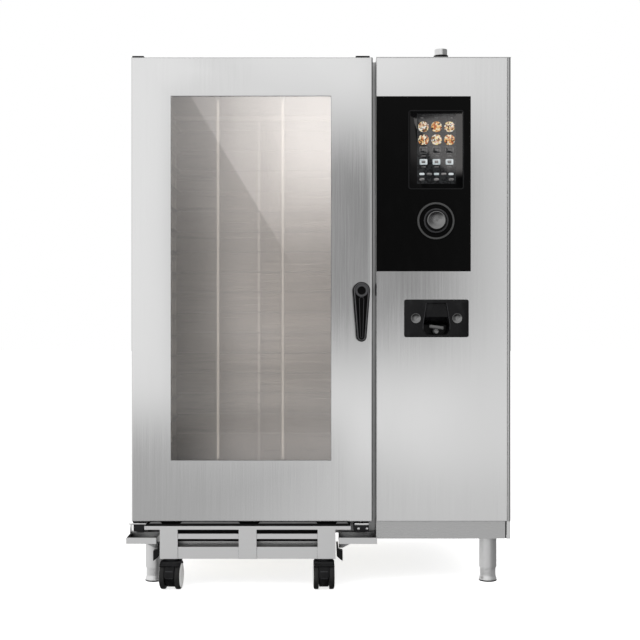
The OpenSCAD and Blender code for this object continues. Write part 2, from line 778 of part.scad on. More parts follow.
module tray_stop() color("silver") translate([trolley_x, 0, 0]) {
    y = rack_front - 8;
    for (x = [-113, 113]) rod_z([x, y, 411], rack_top - 8 - 411, 6);
    for (z = [411, rack_top - 8]) {
        rod_x([-200, y, z], 400, 4);
    }
    // Hooks over the rack's cross rails, at the bottom and at the top
    for (x = [-180, 180]) {
        box([x - 8, y, 405.2], [x + 8, rack_front + 13, 411]);
        box([x - 8, rack_front + 11, 399], [x + 8, rack_front + 13, 407]);
        box([x - 8, y, rack_top + 0.2], [x + 8, rack_front + tube + 3, rack_top + 3]);
        box([x - 8, rack_front + tube + 1, rack_top - 6], [x + 8, rack_front + tube + 3, rack_top + 2]);
        box([x - 8, y - 2, rack_top - 8], [x + 8, y + 2, rack_top + 3]);
    }
}

// Twin-wheel castors: front left, front right, rear left, rear right
castor_at = [for (p = [[-castor_front_half, castor_y], [castor_front_half, castor_y],
    [-castor_rear_half, castor_rear_y], [castor_rear_half, castor_rear_y]]) [trolley_x + p.x, p.y]];

module at_castor(i) translate([castor_at[i].x, castor_at[i].y, 0]) rotate([0, 0, yaws[i]]) children();

module castor(i) color(BLACK) at_castor(i) difference() {
    spine = 14.5;
    neck_z = 2 * wheel_r + 1.5;     // just above the wheels
    union() {
        rod_x([-spine, -trail, wheel_r], 2 * spine, 38);
        // Hood over the wheels
        intersection() {
            difference() {
                rod_x([-castor_half_w, -trail, wheel_r], 2 * castor_half_w, wheel_r + 4.5);
                rod_x([-castor_half_w - 1, -trail, wheel_r], 2 * castor_half_w + 2, wheel_r + 1.5);
            }
            box([-castor_half_w, -trail - 32, wheel_r + 35], [castor_half_w, -trail + 32, 100]);
        }
        box([-spine, -trail - 34, wheel_r + 20], [spine, 24, neck_z]);
        rod_z([0, 0, neck_z - 1], chassis_z + 0.8 - neck_z, 15);
    }
    rod_x([-50, -trail, wheel_r], 100, axle_r + run_gap);
    // The front castors have a brake pedal in a slot between the wheels
    if (i < 2) {
        box([-8, pedal_y - 30, pedal_z - 24], [8, pedal_y + 6, pedal_z + 6]);
        rod_x([-20, pedal_y, pedal_z], 40, pedal_pin_r + run_gap);
    }
}

// Brake pedal: its lower end is lifted outwards to let the wheels go
module brake_pedal(i) color(DARK) at_castor(i) {
    rod_x([-14, pedal_y, pedal_z], 28, pedal_pin_r);
    rod_x([-7.5, pedal_y, pedal_z], 15, 5);
    box([-7.5, pedal_y - 16, pedal_z - 5], [7.5, pedal_y, pedal_z + 2]);
    box([-13, pedal_y - 16, pedal_z - 24], [13, pedal_y - 12, pedal_z + 2]);
}

module wheels(i) color(DARK) at_castor(i) {
    rod_x([-castor_half_w + 1, -trail, wheel_r], 2 * castor_half_w - 2, axle_r);
    for (s = [-1, 1]) translate([0, -trail, wheel_r]) rotate([0, 90 * s, 0]) {
        inside = castor_half_w - tread_w;
        translate([0, 0, inside]) cylinder(r = wheel_r, h = tread_w - chamfer);
        translate([0, 0, castor_half_w - chamfer])
            cylinder(r1 = wheel_r, r2 = wheel_r - chamfer, h = chamfer);
    }
}

// ---- assembly ----

module place() translate(shift) children();

place() base_frame();
place() feet();
place() chamber();
place() insulation();
place() service_bulkhead();
place() front_frame();
place() door_gasket();
place() left_side_panel();
place() right_side_panel();
place() rear_panel();
place() roof_panel();
place() column_front();
place() plinth();
place() fan_baffle();
place() heating_coils();
place() fan_motors();
place() steam_generator();
place() service_connections();
place() drain_pipe();
place() exhaust_pipe();
place() control_panel();
place() touchscreen();
place() control_board();
place() dock_plate();
place() hinge_brackets();
place() latch_strikes();
place() drip_tray();
place() docking_guides();
place() door_skin();
place() door_liner();
place() outer_glass();
place() inner_glass();
place() glass_clips();
place() door_lamps();
place() hinge_bushes();
place() door_handle();
place() latch_rod(0, cab_top + 4 - handle_z);  // upper_latch_rod
place() latch_rod(180, handle_z - door_bottom + 8);  // lower_latch_rod
place() selector_shaft();
place() selector_knob();
place() fan_wheel(fan_zs[1]);  // upper_fan
place() fan_wheel(fan_zs[0]);  // lower_fan
place() hand_shower();
place() shower_lever();
place() hose_reel();
place() trolley_chassis();
place() rack_frame();
place() tray_runners();
place() rack_drip_pan();
place() tray_stop();
place() castor(0);  // castor_fl
place() castor(1);  // castor_fr
place() castor(2);  // castor_rl
place() castor(3);  // castor_rr
place() brake_pedal(0);  // brake_pedal_fl
place() brake_pedal(1);  // brake_pedal_fr
place() wheels(0);  // wheels_fl
place() wheels(1);  // wheels_fr
place() wheels(2);  // wheels_rl
place() wheels(3);  // wheels_rr
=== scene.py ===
"""Looks of a roll-in combi steamer oven with its docked rack trolley.

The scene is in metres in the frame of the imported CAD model: +Z up, front faces -Y. Places and
sizes are read from the boxes of the CAD nodes. Profiles and offsets are given in millimetres.
"""

import json
import math

import bmesh
import bpy
from mathutils import Matrix, Vector


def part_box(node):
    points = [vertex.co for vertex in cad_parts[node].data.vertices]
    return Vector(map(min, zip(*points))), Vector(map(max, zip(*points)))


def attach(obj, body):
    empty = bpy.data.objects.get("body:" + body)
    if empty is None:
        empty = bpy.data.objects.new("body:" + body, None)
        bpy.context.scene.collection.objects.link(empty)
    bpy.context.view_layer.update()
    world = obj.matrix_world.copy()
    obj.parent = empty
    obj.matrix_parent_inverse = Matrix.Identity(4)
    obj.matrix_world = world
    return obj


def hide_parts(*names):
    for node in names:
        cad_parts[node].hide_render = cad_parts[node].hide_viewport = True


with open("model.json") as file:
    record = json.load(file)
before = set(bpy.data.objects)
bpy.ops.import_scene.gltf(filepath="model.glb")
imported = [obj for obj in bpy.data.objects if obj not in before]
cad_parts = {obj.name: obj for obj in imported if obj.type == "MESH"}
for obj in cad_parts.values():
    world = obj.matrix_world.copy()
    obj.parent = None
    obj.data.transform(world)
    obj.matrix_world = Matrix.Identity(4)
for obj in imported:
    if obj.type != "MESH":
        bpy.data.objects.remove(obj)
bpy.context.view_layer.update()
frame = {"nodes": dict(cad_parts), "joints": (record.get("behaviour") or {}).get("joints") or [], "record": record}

MM = 0.001


# ---------------------------------------------------------------- shader nodes

class Nodes:
    """Builds a node tree: add() makes a node and fills its inputs with values or links."""

    def __init__(self, tree):
        self.tree = tree
        tree.nodes.clear()

    def add(self, kind, inputs=None, **settings):
        node = self.tree.nodes.new(kind)
        for key, value in settings.items():
            setattr(node, key, value)
        for key, value in (inputs or {}).items():
            if isinstance(value, bpy.types.NodeSocket):
                self.tree.links.new(value, node.inputs[key])
            else:
                node.inputs[key].default_value = value
        return node

    def math(self, operation, a, b=0.0):
        return self.add("ShaderNodeMath", {0: a, 1: b}, operation=operation).outputs[0]

    def sum(self, a, b):
        return self.math("ADD", a, b)

    def product(self, a, b):
        return self.math("MULTIPLY", a, b)

    def smooth(self, value, start, end, low=0.0, high=1.0):
        """Smooth step from low at start to high at end."""
        node = self.add("ShaderNodeMapRange", {"Value": value, "From Min": start, "From Max": end,
                                               "To Min": low, "To Max": high},
                        interpolation_type="SMOOTHSTEP")
        return node.outputs["Result"]

    def blend(self, share, a, b):
        """a where share is 0, b where it is 1, for plain values."""
        return self.add("ShaderNodeMix", {"Factor": share, "A": a, "B": b}).outputs["Result"]

    def mix_colour(self, share, a, b):
        """a where share is 0, b where it is 1, for colours."""
        node = self.add("ShaderNodeMix", data_type="RGBA")
        colours = [s for s in node.inputs if s.type == "RGBA"]
        for socket, value in ((node.inputs[0], share), (colours[0], a), (colours[1], b)):
            if isinstance(value, bpy.types.NodeSocket):
                self.tree.links.new(value, socket)
            else:
                socket.default_value = value
        return [s for s in node.outputs if s.type == "RGBA"][0]

    def place(self, stretch=(1, 1, 1)):
        """Coordinates of the row frame in metres, stretched per axis."""
        coords = self.add("ShaderNodeTexCoord").outputs["Object"]
        return self.add("ShaderNodeMapping", {"Vector": coords, "Scale": stretch}).outputs[0]

    def noise(self, scale, stretch=(1, 1, 1), detail=2.0):
        node = self.add("ShaderNodeTexNoise", {"Vector": self.place(stretch), "Scale": scale,
                                               "Detail": detail})
        return node.outputs["Fac"]

    def bump(self, height, distance, strength=1.0):
        node = self.add("ShaderNodeBump", {"Height": height, "Distance": distance,
                                           "Strength": strength})
        return node.outputs[0]

    def near_edge(self, width):
        """0 on open faces, rising to 1 over the last few millimetres before an outer edge."""
        rounded = self.add("ShaderNodeBevel", {"Radius": width}, samples=4).outputs[0]
        flat = self.add("ShaderNodeNewGeometry").outputs["Normal"]
        agree = self.add("ShaderNodeVectorMath", {0: rounded, 1: flat}, operation="DOT_PRODUCT")
        return self.smooth(agree.outputs["Value"], 0.985, 0.85)

    def in_corner(self, reach):
        """0 in the open, rising to 1 in corners and narrow gaps."""
        node = self.add("ShaderNodeAmbientOcclusion", {"Distance": reach}, samples=6)
        return self.smooth(node.outputs["AO"], 0.75, 0.3)


# ---------------------------------------------------------------- materials

# Materials that have no slot of their own in the record, and the slot each one goes by
RECORD_SLOT = {"lever_grey": "dark_plastic", "trim_and_highlight_plastic": "dark_plastic",
               "matt_black": "black_plastic", "display_base": "screen_black",
               "gunmetal": "dark_metal", "ring_metal": "dark_metal",
               "hub_plastic": "grey_plastic"}

# Noise stretched into fine lines that run up or across
GRAIN_UP = (1500, 1500, 9)
GRAIN_ACROSS = (9, 1500, 1500)
# Grey tones of the painted shade along outer edges, and in corners and narrow gaps
EDGE_SHADE_TONE = 0.12
CORNER_SHADE_TONE = 0.05


def material(name):
    """A new material and the builder of its empty node tree."""
    made = bpy.data.materials.new(name)
    made.use_nodes = True
    made["record_slot"] = RECORD_SLOT.get(name, name)
    return made, Nodes(made.node_tree)


def finish_surface(nodes, surface):
    out = nodes.add("ShaderNodeOutputMaterial")
    nodes.tree.links.new(surface.outputs[0], out.inputs["Surface"])


def principled(made, nodes, inputs):
    """Finishes a material with one principled surface."""
    finish_surface(nodes, nodes.add("ShaderNodeBsdfPrincipled", inputs))
    return made


def grey(value):
    return (value, value, value, 1.0)


def tone(colour, share=1.0):
    """A colour made darker or lighter."""
    return tuple(share * c for c in colour) + (1.0,)


def brushed_steel(name, shade, roughness, grain=GRAIN_UP, tint=(1, 1, 1), contrast=0.025, edge=0.0,
                  corner=0.0):
    """Satin steel: fine stretched grain in colour, roughness and bump, and broad faint wipe marks.
    edge and corner are how far painted shade reaches in from outer edges and into corners and gaps, in metres."""
    made, n = material(name)
    fine = n.noise(1.0, grain, 3.0)
    coarse = n.noise(0.22, grain, 2.0)
    wiped = n.noise(2.6, (1, 1, 0.5), 3.0)
    lines = n.sum(n.product(fine, 0.6), n.product(coarse, 0.4))
    colour = n.mix_colour(n.smooth(lines, 0.3, 0.7), tone(tint, shade * (1 - contrast)),
                          tone(tint, shade * (1 + contrast)))
    if edge:
        # Painted shade: the colour turns dark grey over the last few millimetres before an outer edge
        colour = n.mix_colour(n.near_edge(edge), colour, grey(EDGE_SHADE_TONE))
    if corner:
        # Painted shade: the colour turns darker in corners and narrow gaps
        colour = n.mix_colour(n.in_corner(corner), colour, grey(CORNER_SHADE_TONE))
    spread = 1.2 * contrast
    rough = n.sum(n.smooth(lines, 0.3, 0.7, roughness - spread, roughness + spread),
                  n.smooth(wiped, 0.35, 0.65, -0.015, 0.02))
    tangent = n.add("ShaderNodeTangent", direction_type="RADIAL", axis="Z").outputs[0]
    return principled(made, n, {
        "Base Color": colour, "Metallic": 1.0, "Roughness": rough, "Anisotropic": 0.4,
        "Anisotropic Rotation": 0.0 if grain == GRAIN_UP else 0.25, "Tangent": tangent,
        "Normal": n.bump(lines, 0.000004, 0.5)})


def polished(name, shade, roughness):
    """Turned or polished metal with faint circular handling marks."""
    made, n = material(name)
    marks = n.noise(260, detail=4.0)
    smudge = n.noise(14)
    colour = n.mix_colour(n.smooth(smudge, 0.35, 0.65), grey(shade * 0.9), grey(shade))
    rough = n.smooth(marks, 0.3, 0.7, roughness * 0.8, roughness * 1.3)
    return principled(made, n, {"Base Color": colour, "Metallic": 1.0, "Roughness": rough,
                                "Normal": n.bump(marks, 0.00001, 0.4)})


def moulded(name, colour, roughness, texture=900, depth=0.00004, specular=0.5, wear=1.0):
    """Moulded plastic or rubber: fine leathery bump, uneven sheen, slightly paler scuffs."""
    made, n = material(name)
    skin = n.noise(texture, detail=3.0)
    scuffs = n.noise(38, (1, 1, 0.4), 5.0)
    pale = tone([c * (1 + 0.25 * wear) + 0.006 * wear for c in colour])
    base = n.mix_colour(n.smooth(scuffs, 0.5, 0.75, 0.0, 0.7), tone(colour), pale)
    rough = n.smooth(scuffs, 0.3, 0.7, roughness - 0.05 * wear, roughness + 0.08 * wear)
    return principled(made, n, {"Base Color": base, "Roughness": rough,
                                "Specular IOR Level": specular,
                                "Normal": n.bump(skin, depth, 0.5)})


def clear_glass(name, tint, mirror):
    """Flat pane: see-through with a tint, a mirror share, and a trace of wipe haze."""
    made, n = material(name)
    haze = n.noise(5, (1, 1, 0.6), 4.0)
    facing = n.add("ShaderNodeLayerWeight", {"Blend": 0.05}).outputs["Facing"]
    share = n.sum(n.smooth(haze, 0.3, 0.7, mirror, mirror * 1.12),
                  n.smooth(facing, 0.3, 1.0, 0.0, 0.6))
    through = n.add("ShaderNodeBsdfTransparent", {"Color": tone(tint)}).outputs[0]
    shine = n.add("ShaderNodeBsdfGlossy", {"Color": grey(1.0), "Roughness": 0.012}).outputs[0]
    finish_surface(n, n.add("ShaderNodeMixShader", {0: share, 1: through, 2: shine}))
    return made


def glowing(name, colour, strength):
    """Lit plastic diffuser with uneven cells."""
    made, n = material(name)
    cells = n.noise(60, (1, 1, 3))
    shown = n.mix_colour(n.smooth(cells, 0.3, 0.7), tone(colour, 0.85), tone(colour))
    return principled(made, n, {"Base Color": shown, "Roughness": 0.4, "Emission Color": shown,
                                "Emission Strength": strength})


def wool(name):
    """Mineral wool: fibres in two straw tones."""
    made, n = material(name)
    fibres = n.noise(300, (1, 1, 6), 5.0)
    colour = n.mix_colour(fibres, tone((0.62, 0.56, 0.34)), tone((0.8, 0.75, 0.55)))
    return principled(made, n, {"Base Color": colour, "Roughness": 0.95,
                                "Normal": n.bump(fibres, 0.002)})


def circuit_board(name):
    """Green board with paler tracks."""
    made, n = material(name)
    tracks = n.add("ShaderNodeTexBrick", {"Vector": n.place(), "Scale": 90.0,
                                          "Color1": tone((0.02, 0.12, 0.05)),
                                          "Color2": tone((0.03, 0.17, 0.07)),
                                          "Mortar": tone((0.1, 0.3, 0.12))})
    return principled(made, n, {"Base Color": tracks.outputs["Color"], "Roughness": 0.4})


def picture_tile(name, colours, scale):
    """A lit thumbnail of blotches in the given colours, for the screen."""
    made, n = material(name)
    cells = n.add("ShaderNodeTexVoronoi", {"Vector": n.place(), "Scale": scale,
                                           "Randomness": 1.0}).outputs["Color"]
    value = n.add("ShaderNodeSeparateColor", {0: cells}).outputs[0]
    ramp = n.add("ShaderNodeValToRGB", {0: value})
    stops = ramp.color_ramp.elements
    ramp.color_ramp.interpolation = "CONSTANT"
    for i, colour in enumerate(colours):
        place = i / len(colours)
        stop = stops[i] if i < 2 else stops.new(place)
        stop.position = place
        stop.color = tone(colour)
    return principled(made, n, {"Base Color": grey(0.004), "Roughness": 0.1,
                                "Specular IOR Level": 0.04, "Emission Color": ramp.outputs[0],
                                "Emission Strength": 0.8})


PANE_MIRROR = 0.08

# The main steel has a painted shade band, 4 mm wide, along its outer edges
STEEL = brushed_steel("stainless", 0.69, 0.11, edge=0.004)
STEEL_ACROSS = brushed_steel("stainless_across", 0.66, 0.16, GRAIN_ACROSS)
STEEL_SHADE = brushed_steel("stainless_shade", 0.52, 0.26, GRAIN_ACROSS, contrast=0.01)
# Front frame behind the gap beside the door: rough steel whose tone is lowered as painted shade for the gap, with
# painted shade in its corners as well
GAP_SHADE_STEEL = brushed_steel("gap_shade_steel", 0.5, 0.4, GRAIN_ACROSS, corner=0.006)
# Trolley steel: painted shade in its corners, reaching 5 cm, darkens the drip tray and the shelf's wings
TROLLEY_STEEL = brushed_steel("trolley_steel", 0.8, 0.4, GRAIN_ACROSS, contrast=0.01, corner=0.05)
CAVITY = brushed_steel("cavity_steel", 0.42, 0.42, (5, 300, 300), (1, 0.965, 0.935), 0.16)
RACK_STEEL = brushed_steel("rack_steel", 0.66, 0.4, contrast=0.01)
RUNNER_STEEL = brushed_steel("runner_steel", 0.52, 0.4, contrast=0.01)
FRAME_STEEL = brushed_steel("frame_steel", 0.8, 0.45, contrast=0.01)
BRIGHT = polished("polished_steel", 0.74, 0.16)
DARK_METAL = polished("dark_metal", 0.18, 0.35)
GUNMETAL = polished("gunmetal", 0.22, 0.22)
RING_METAL = polished("ring_metal", 0.1, 0.3)
BLACK_METAL = moulded("black_metal", (0.008, 0.008, 0.009), 0.36, 1200, 0.00002, 0.25)
PLASTIC = moulded("black_plastic", (0.004, 0.004, 0.0045), 0.3, 900, 0.00003, 0.16)
SOFT_PLASTIC = moulded("dark_plastic", (0.026, 0.026, 0.028), 0.36, 900, 0.00004, 0.25)
GREY_PLASTIC = moulded("grey_plastic", (0.2, 0.2, 0.21), 0.45)
RUBBER = moulded("rubber", (0.006, 0.006, 0.006), 0.6, 500, 0.00006, 0.15)
TREAD = moulded("castor_tread", (0.012, 0.012, 0.012), 0.42, 380, 0.00008, 0.2)
HUB = moulded("hub_plastic", (0.72, 0.72, 0.71), 0.35)
MATT_BLACK = moulded("matt_black", (0.003, 0.003, 0.003), 0.7, 500, 0.00005, 0.03, 0.2)
# Lighter grey plastic: the boss's trim, and the painted highlight band along the front of the handle's rim
TRIM_AND_HIGHLIGHT_PLASTIC = moulded("trim_and_highlight_plastic", (0.05, 0.05, 0.052), 0.28, 900, 0.00003, 0.3)
LEVER_GREY = moulded("lever_grey", (0.11, 0.11, 0.11), 0.35, 900, 0.00003, 0.3)
PANEL = moulded("panel_black", (0.002, 0.002, 0.002), 0.14, 700, 0.000002, 0.045, 0.1)
SCREEN = moulded("screen_black", (0.0008, 0.0008, 0.0009), 0.04, 700, 0.000001, 0.04, 0.1)
PANE = clear_glass("glass", (0.69, 0.665, 0.64), PANE_MIRROR)
PANE_INNER = clear_glass("glass_inner", (0.91, 0.9, 0.88), 0.04)
LAMP = glowing("lamp", (0.95, 0.93, 0.88), 1.2)
WOOL = wool("wool")
BOARD = circuit_board("board_green")

# The record's slots, and the nodes that look different from their slot
SLOT_MATERIAL = {made["record_slot"]: made for made in (
    STEEL, STEEL_SHADE, CAVITY, FRAME_STEEL, BRIGHT, DARK_METAL, BLACK_METAL, PLASTIC, SOFT_PLASTIC,
    GREY_PLASTIC, RUBBER, TREAD, PANEL, SCREEN, PANE, LAMP, WOOL, BOARD)}
NODE_MATERIAL = {
    "inner_glass": PANE_INNER, "drip_tray": TROLLEY_STEEL, "trolley_chassis": TROLLEY_STEEL,
    "roof_panel": STEEL_ACROSS, "front_frame": GAP_SHADE_STEEL, "upper_latch_rod": BLACK_METAL,
    "rack_frame": RACK_STEEL, "tray_stop": RACK_STEEL, "tray_runners": RUNNER_STEEL,
}
# Edge radius of the CAD nodes in millimetres
PLAIN_EDGE = 0.4
EDGE_WIDTH = {"door_skin": 1.2, "column_front": 0.6, "control_panel": 1.0, "outer_glass": 1.5,
              "trolley_chassis": 1.0, "drip_tray": 0.8, "hinge_brackets": 1.2,
              "latch_strikes": 1.2, "docking_guides": 2.0}


def dress_cad_nodes():
    """Gives every CAD node its material, welds its seams and rounds its edges a little."""
    slots = {s["node"]: s["material_slot"] for s in frame["record"]["subparts"]}
    for name, node in frame["nodes"].items():
        node.data.materials.clear()
        node.data.materials.append(NODE_MATERIAL.get(name, SLOT_MATERIAL[slots[name]]))
        with bpy.context.temp_override(object=node, active_object=node):
            bpy.ops.mesh.customdata_custom_splitnormals_clear()
        node.data.polygons.foreach_set("use_smooth", [True] * len(node.data.polygons))
        weld = node.modifiers.new("Weld", "WELD")
        weld.merge_threshold = 0.00001
        bevel = node.modifiers.new("Bevel", "BEVEL")
        bevel.width = EDGE_WIDTH.get(name, PLAIN_EDGE) * MM
        bevel.segments = 2
        bevel.limit_method = "ANGLE"
        bevel.angle_limit = math.radians(35)
        bevel.harden_normals = True


# ---------------------------------------------------------------- mesh helpers

def mm(x, y, z):
    """A point or an offset in millimetres, as a vector in metres."""
    return Vector((x, y, z)) * MM


def centre(node):
    low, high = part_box(node)
    return (low + high) / 2


def facing_front(x, y, z):
    """Local z points out of the front, towards -Y."""
    return Matrix.Translation((x, y, z)) @ Matrix.Rotation(math.pi / 2, 4, "X")


def piece(name, bm, body, look, replaces=(), sharp=35):
    """Turns a bmesh into an object that rides on a body, with smooth faces and sharp edges."""
    bmesh.ops.recalc_face_normals(bm, faces=bm.faces)
    mesh = bpy.data.meshes.new(name)
    bm.to_mesh(mesh)
    bm.free()
    mesh.polygons.foreach_set("use_smooth", [True] * len(mesh.polygons))
    mesh.set_sharp_from_angle(angle=math.radians(sharp))
    made = bpy.data.objects.new(name, mesh)
    bpy.context.scene.collection.objects.link(made)
    looks = look if isinstance(look, (list, tuple)) else [look]
    for one in looks:
        mesh.materials.append(one)
    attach(made, body)
    if replaces:
        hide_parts(*replaces)


def rings(bm, loops, closed=True):
    """Skins between successive loops of points. The two ends are capped if closed."""
    made = [[bm.verts.new(p) for p in loop] for loop in loops]
    count = len(made[0])
    for a, b in zip(made, made[1:]):
        for i in range(count):
            j = (i + 1) % count
            bm.faces.new((a[i], a[j], b[j], b[i]))
    if closed:
        bm.faces.new(made[0][::-1])
        bm.faces.new(made[-1])
    return made


def lathe(bm, profile, matrix, steps=64):
    """Revolves (radius, height) points in millimetres about matrix's z axis. A radius of 0
    closes an end."""
    angles = [2 * math.pi * i / steps for i in range(steps)]
    made = rings(bm, [[matrix @ mm(radius * math.cos(a), radius * math.sin(a), height) for a in angles]
                      for radius, height in profile if radius > 0], closed=False)
    for (radius, height), ring in ((profile[0], made[0]), (profile[-1], made[-1])):
        if radius == 0:
            tip = bm.verts.new(matrix @ mm(0, 0, height))
            for i in range(steps):
                bm.faces.new((ring[i], ring[(i + 1) % steps], tip))


def turned(name, profile, matrix, body, look, steps=64, replaces=()):
    """A piece made of one lathed profile."""
    bm = bmesh.new()
    lathe(bm, profile, matrix, steps)
    piece(name, bm, body, look, replaces)


def rounded_box(bm, low, high, radius, segments=3, turn=None):
    """A box with edges of a radius in millimetres, added to bm, optionally turned by a matrix."""
    part = bmesh.new()
    bmesh.ops.create_cube(part, size=1)
    for v in part.verts:
        v.co = Vector([(v.co[i] + 0.5) * (high[i] - low[i]) + low[i] for i in range(3)])
    limit = min(high - low) / 2 * 0.98
    bmesh.ops.bevel(part, geom=part.edges[:], offset=min(radius * MM, limit), segments=segments,
                    profile=0.5, affect="EDGES")
    if turn is not None:
        part.transform(turn)
    spare = bpy.data.meshes.new("spare")
    part.to_mesh(spare)
    part.free()
    bm.from_mesh(spare)
    bpy.data.meshes.remove(spare)


def boxed(name, body, look, *boxes):
    """A piece made of rounded boxes, each one the arguments of rounded_box."""
    bm = bmesh.new()
    for box in boxes:
        rounded_box(bm, *box)
    piece(name, bm, body, look)


def rounded_rect(x1, x2, z1, z2, radius, y, inset=0.0, steps=5):
    """Outline with round corners in the xz plane at y, drawn in from the four sides by inset."""
    reach = radius + inset
    points = []
    for cx, cz, start in ((x2 - reach, z2 - reach, 0), (x1 + reach, z2 - reach, 90),
                          (x1 + reach, z1 + reach, 180), (x2 - reach, z1 + reach, 270)):
        for i in range(steps + 1):
            t = math.radians(start + 90 * i / steps)
            points.append(Vector((cx + radius * math.cos(t), y, cz + radius * math.sin(t))))
    return points


def slab(bm, sides, radius, front, back, edge, slot=0):
    """A plate facing the front, with round corners and a softened front edge."""
    before = set(bm.faces)
    section = ((0, back), (0, front + edge), (0.3 * edge, front + 0.3 * edge), (edge, front))
    rings(bm, [rounded_rect(*sides, max(radius - inset, 0.1 * MM), y, inset) for inset, y in section])
    for face in set(bm.faces) - before:
        face.material_index = slot


# ---------------------------------------------------------------- door handle

LEVER_DEPTH = 22
LEVER_TIP_R = 17 * MM


def teardrop(top, tip, top_r, tip_r, y, steps=20):
    """Outline around a big circle at top and a small one at tip, in the xz plane at y."""
    lean = math.asin((top_r - tip_r) / (top.z - tip.z))
    points = []
    for middle, radius, start, sweep in ((top, top_r, -lean, math.pi + 2 * lean),
                                         (tip, tip_r, math.pi + lean, math.pi - 2 * lean)):
        for i in range(steps + 1):
            t = start + sweep * i / steps
            points.append(Vector((middle.x + radius * math.cos(t), y,
                                  middle.z + radius * math.sin(t))))
    return points


def teardrop_piece(name, top, tip, top_r, tip_r, front, section, painted, looks, replaces=()):
    """Teardrops through (inset, depth) points in millimetres. The second look goes on the faces
    whose middle lies between the two painted depths."""
    bm = bmesh.new()
    rings(bm, [teardrop(top, tip, top_r - inset * MM, tip_r - inset * MM, front + depth * MM)
               for inset, depth in section])
    for face in bm.faces:
        if painted[0] * MM <= face.calc_center_median().y - front <= painted[1] * MM:
            face.material_index = 1
    piece(name, bm, "handle", looks, replaces, 50)


def build_handle():
    low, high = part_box("door_handle")
    top_r = (high.x - low.x) / 2
    top = Vector(((low.x + high.x) / 2, 0, high.z - top_r))
    tip = Vector((top.x, 0, low.z + LEVER_TIP_R))
    front = low.y
    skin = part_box("door_skin")[0].y
    lever = ((7, LEVER_DEPTH), (2, LEVER_DEPTH - 2), (0, LEVER_DEPTH - 7), (0, 11), (1.5, 6),
             (3, 2.5), (5.5, 0.5), (7, 1), (9, 5), (12, 5.5))
    # The frontmost faces of the rim get the lighter plastic as a painted highlight
    teardrop_piece("handle_lever", top, tip, top_r, LEVER_TIP_R, front, lever, (0, 1.6),
                   [MATT_BLACK, TRIM_AND_HIGHLIGHT_PLASTIC], ["door_handle"])
    # Ridge along the middle of the lever, its edges painted lighter grey as highlights
    ridge = ((0, 8), (0, 3.5), (0.8, 2), (1.8, 1.5), (3, 2.4))
    teardrop_piece("handle_ridge", top - mm(0, 0, 30), tip, 9.5 * MM, 6 * MM, front, ridge, (1, 2.1),
                   [MATT_BLACK, SOFT_PLASTIC])
    # Round boss on the lever's face, with its recessed screw cover
    turned("handle_boss", [(21.5, -6), (21.5, 0.5), (20, 2), (16, 2), (15, 0.5), (0, 0.5)],
           facing_front(top.x, front + 3 * MM, top.z), "handle", TRIM_AND_HIGHLIGHT_PLASTIC)
    turned("handle_cap", [(13.5, 0), (13.5, 2.4), (12, 3), (9, 2.4), (0, 1.4)],
           facing_front(top.x, front + 2.4 * MM, top.z), "handle", MATT_BLACK)
    # Collar between the lever and the door, and the shaft through it
    at_skin = facing_front(top.x, skin, top.z)
    gap = (skin - front) / MM - LEVER_DEPTH
    turned("handle_collar", [(16, gap + 2), (20, gap + 1), (23, 4), (24, 1), (23.5, 0.4), (14, 0.4)],
           at_skin, "handle", PLASTIC)
    turned("handle_shaft", [(0, -40), (8.8, -40), (9, -39), (9, 14), (0, 14)], at_skin, "handle",
           BRIGHT, 32)


# ---------------------------------------------------------------- control panel

# The panel's glass lies this far behind the front of its frame
PANEL_STEP = 4 * MM
CAP_RIM_R = 28.8
CAP_DISH = 6.5
CAP_STEPS = 12


def build_knob():
    """Outer skirt with a grey ring, black groove, dished metal cap, and a bezel on the glass."""
    low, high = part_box("selector_knob")
    middle = centre("selector_knob")
    at_back = facing_front(middle.x, high.y, middle.z)
    turned("knob_ring", [(7, 0.2), (38, 0.2), (41.6, 1.5), (42, 3), (42, 6), (41, 8.6), (39, 9.2),
                         (36.6, 9.2)], at_back, "selector", SOFT_PLASTIC, 96, ["selector_knob"])
    turned("knob_groove", [(36.8, 9), (33, 8.2), (31.2, 9), (31.2, 20), (29, 20)], at_back,
           "selector", PLASTIC, 96)
    height = (high.y - low.y) / MM
    cap = [(31, 10), (31, height - 1.6), (30.2, height - 0.5)]
    for i in range(CAP_STEPS + 1):
        share = 1 - i / CAP_STEPS
        cap.append((CAP_RIM_R * share, height - CAP_DISH * (1 - share ** 2)))
    turned("knob_cap", cap, at_back, "selector", GUNMETAL, 96)
    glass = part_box("control_panel")[0].y + PANEL_STEP
    turned("knob_bezel", [(55.6, -0.5), (55.8, 3.4), (56.6, 4.3), (62.4, 4.3), (63.2, 3.4),
                          (63.4, -0.5)], facing_front(middle.x, glass, middle.z), "cabinet",
           RING_METAL, 96)


def build_screen():
    """The touchscreen's glass, its housing behind and the slim frame around it."""
    low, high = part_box("touchscreen")
    sides = (low.x, high.x, low.z, high.z)
    front = low.y
    bm = bmesh.new()
    slab(bm, sides, 4 * MM, front, front + 3 * MM, 0.6 * MM)
    piece("screen_glass", bm, "cabinet", SCREEN, ["touchscreen"], 30)
    boxed("screen_housing", "cabinet", PLASTIC, (low + mm(12, 3, 12), high - mm(12, 0, 12), 2))
    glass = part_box("control_panel")[0].y + PANEL_STEP
    outer, inner = 4.4 * MM, 0.3 * MM
    lip, proud, slope = 0.2 * MM, 0.7 * MM, 0.6 * MM
    section = ((outer, glass), (outer, front - lip), (outer - slope, front - proud),
               (inner + slope, front - proud), (inner, front - lip), (inner, glass))
    bm = bmesh.new()
    rings(bm, [rounded_rect(*sides, 5 * MM + grow, y, -grow) for grow, y in section], closed=False)
    piece("screen_frame", bm, "cabinet", PLASTIC)
    build_display(low, high)


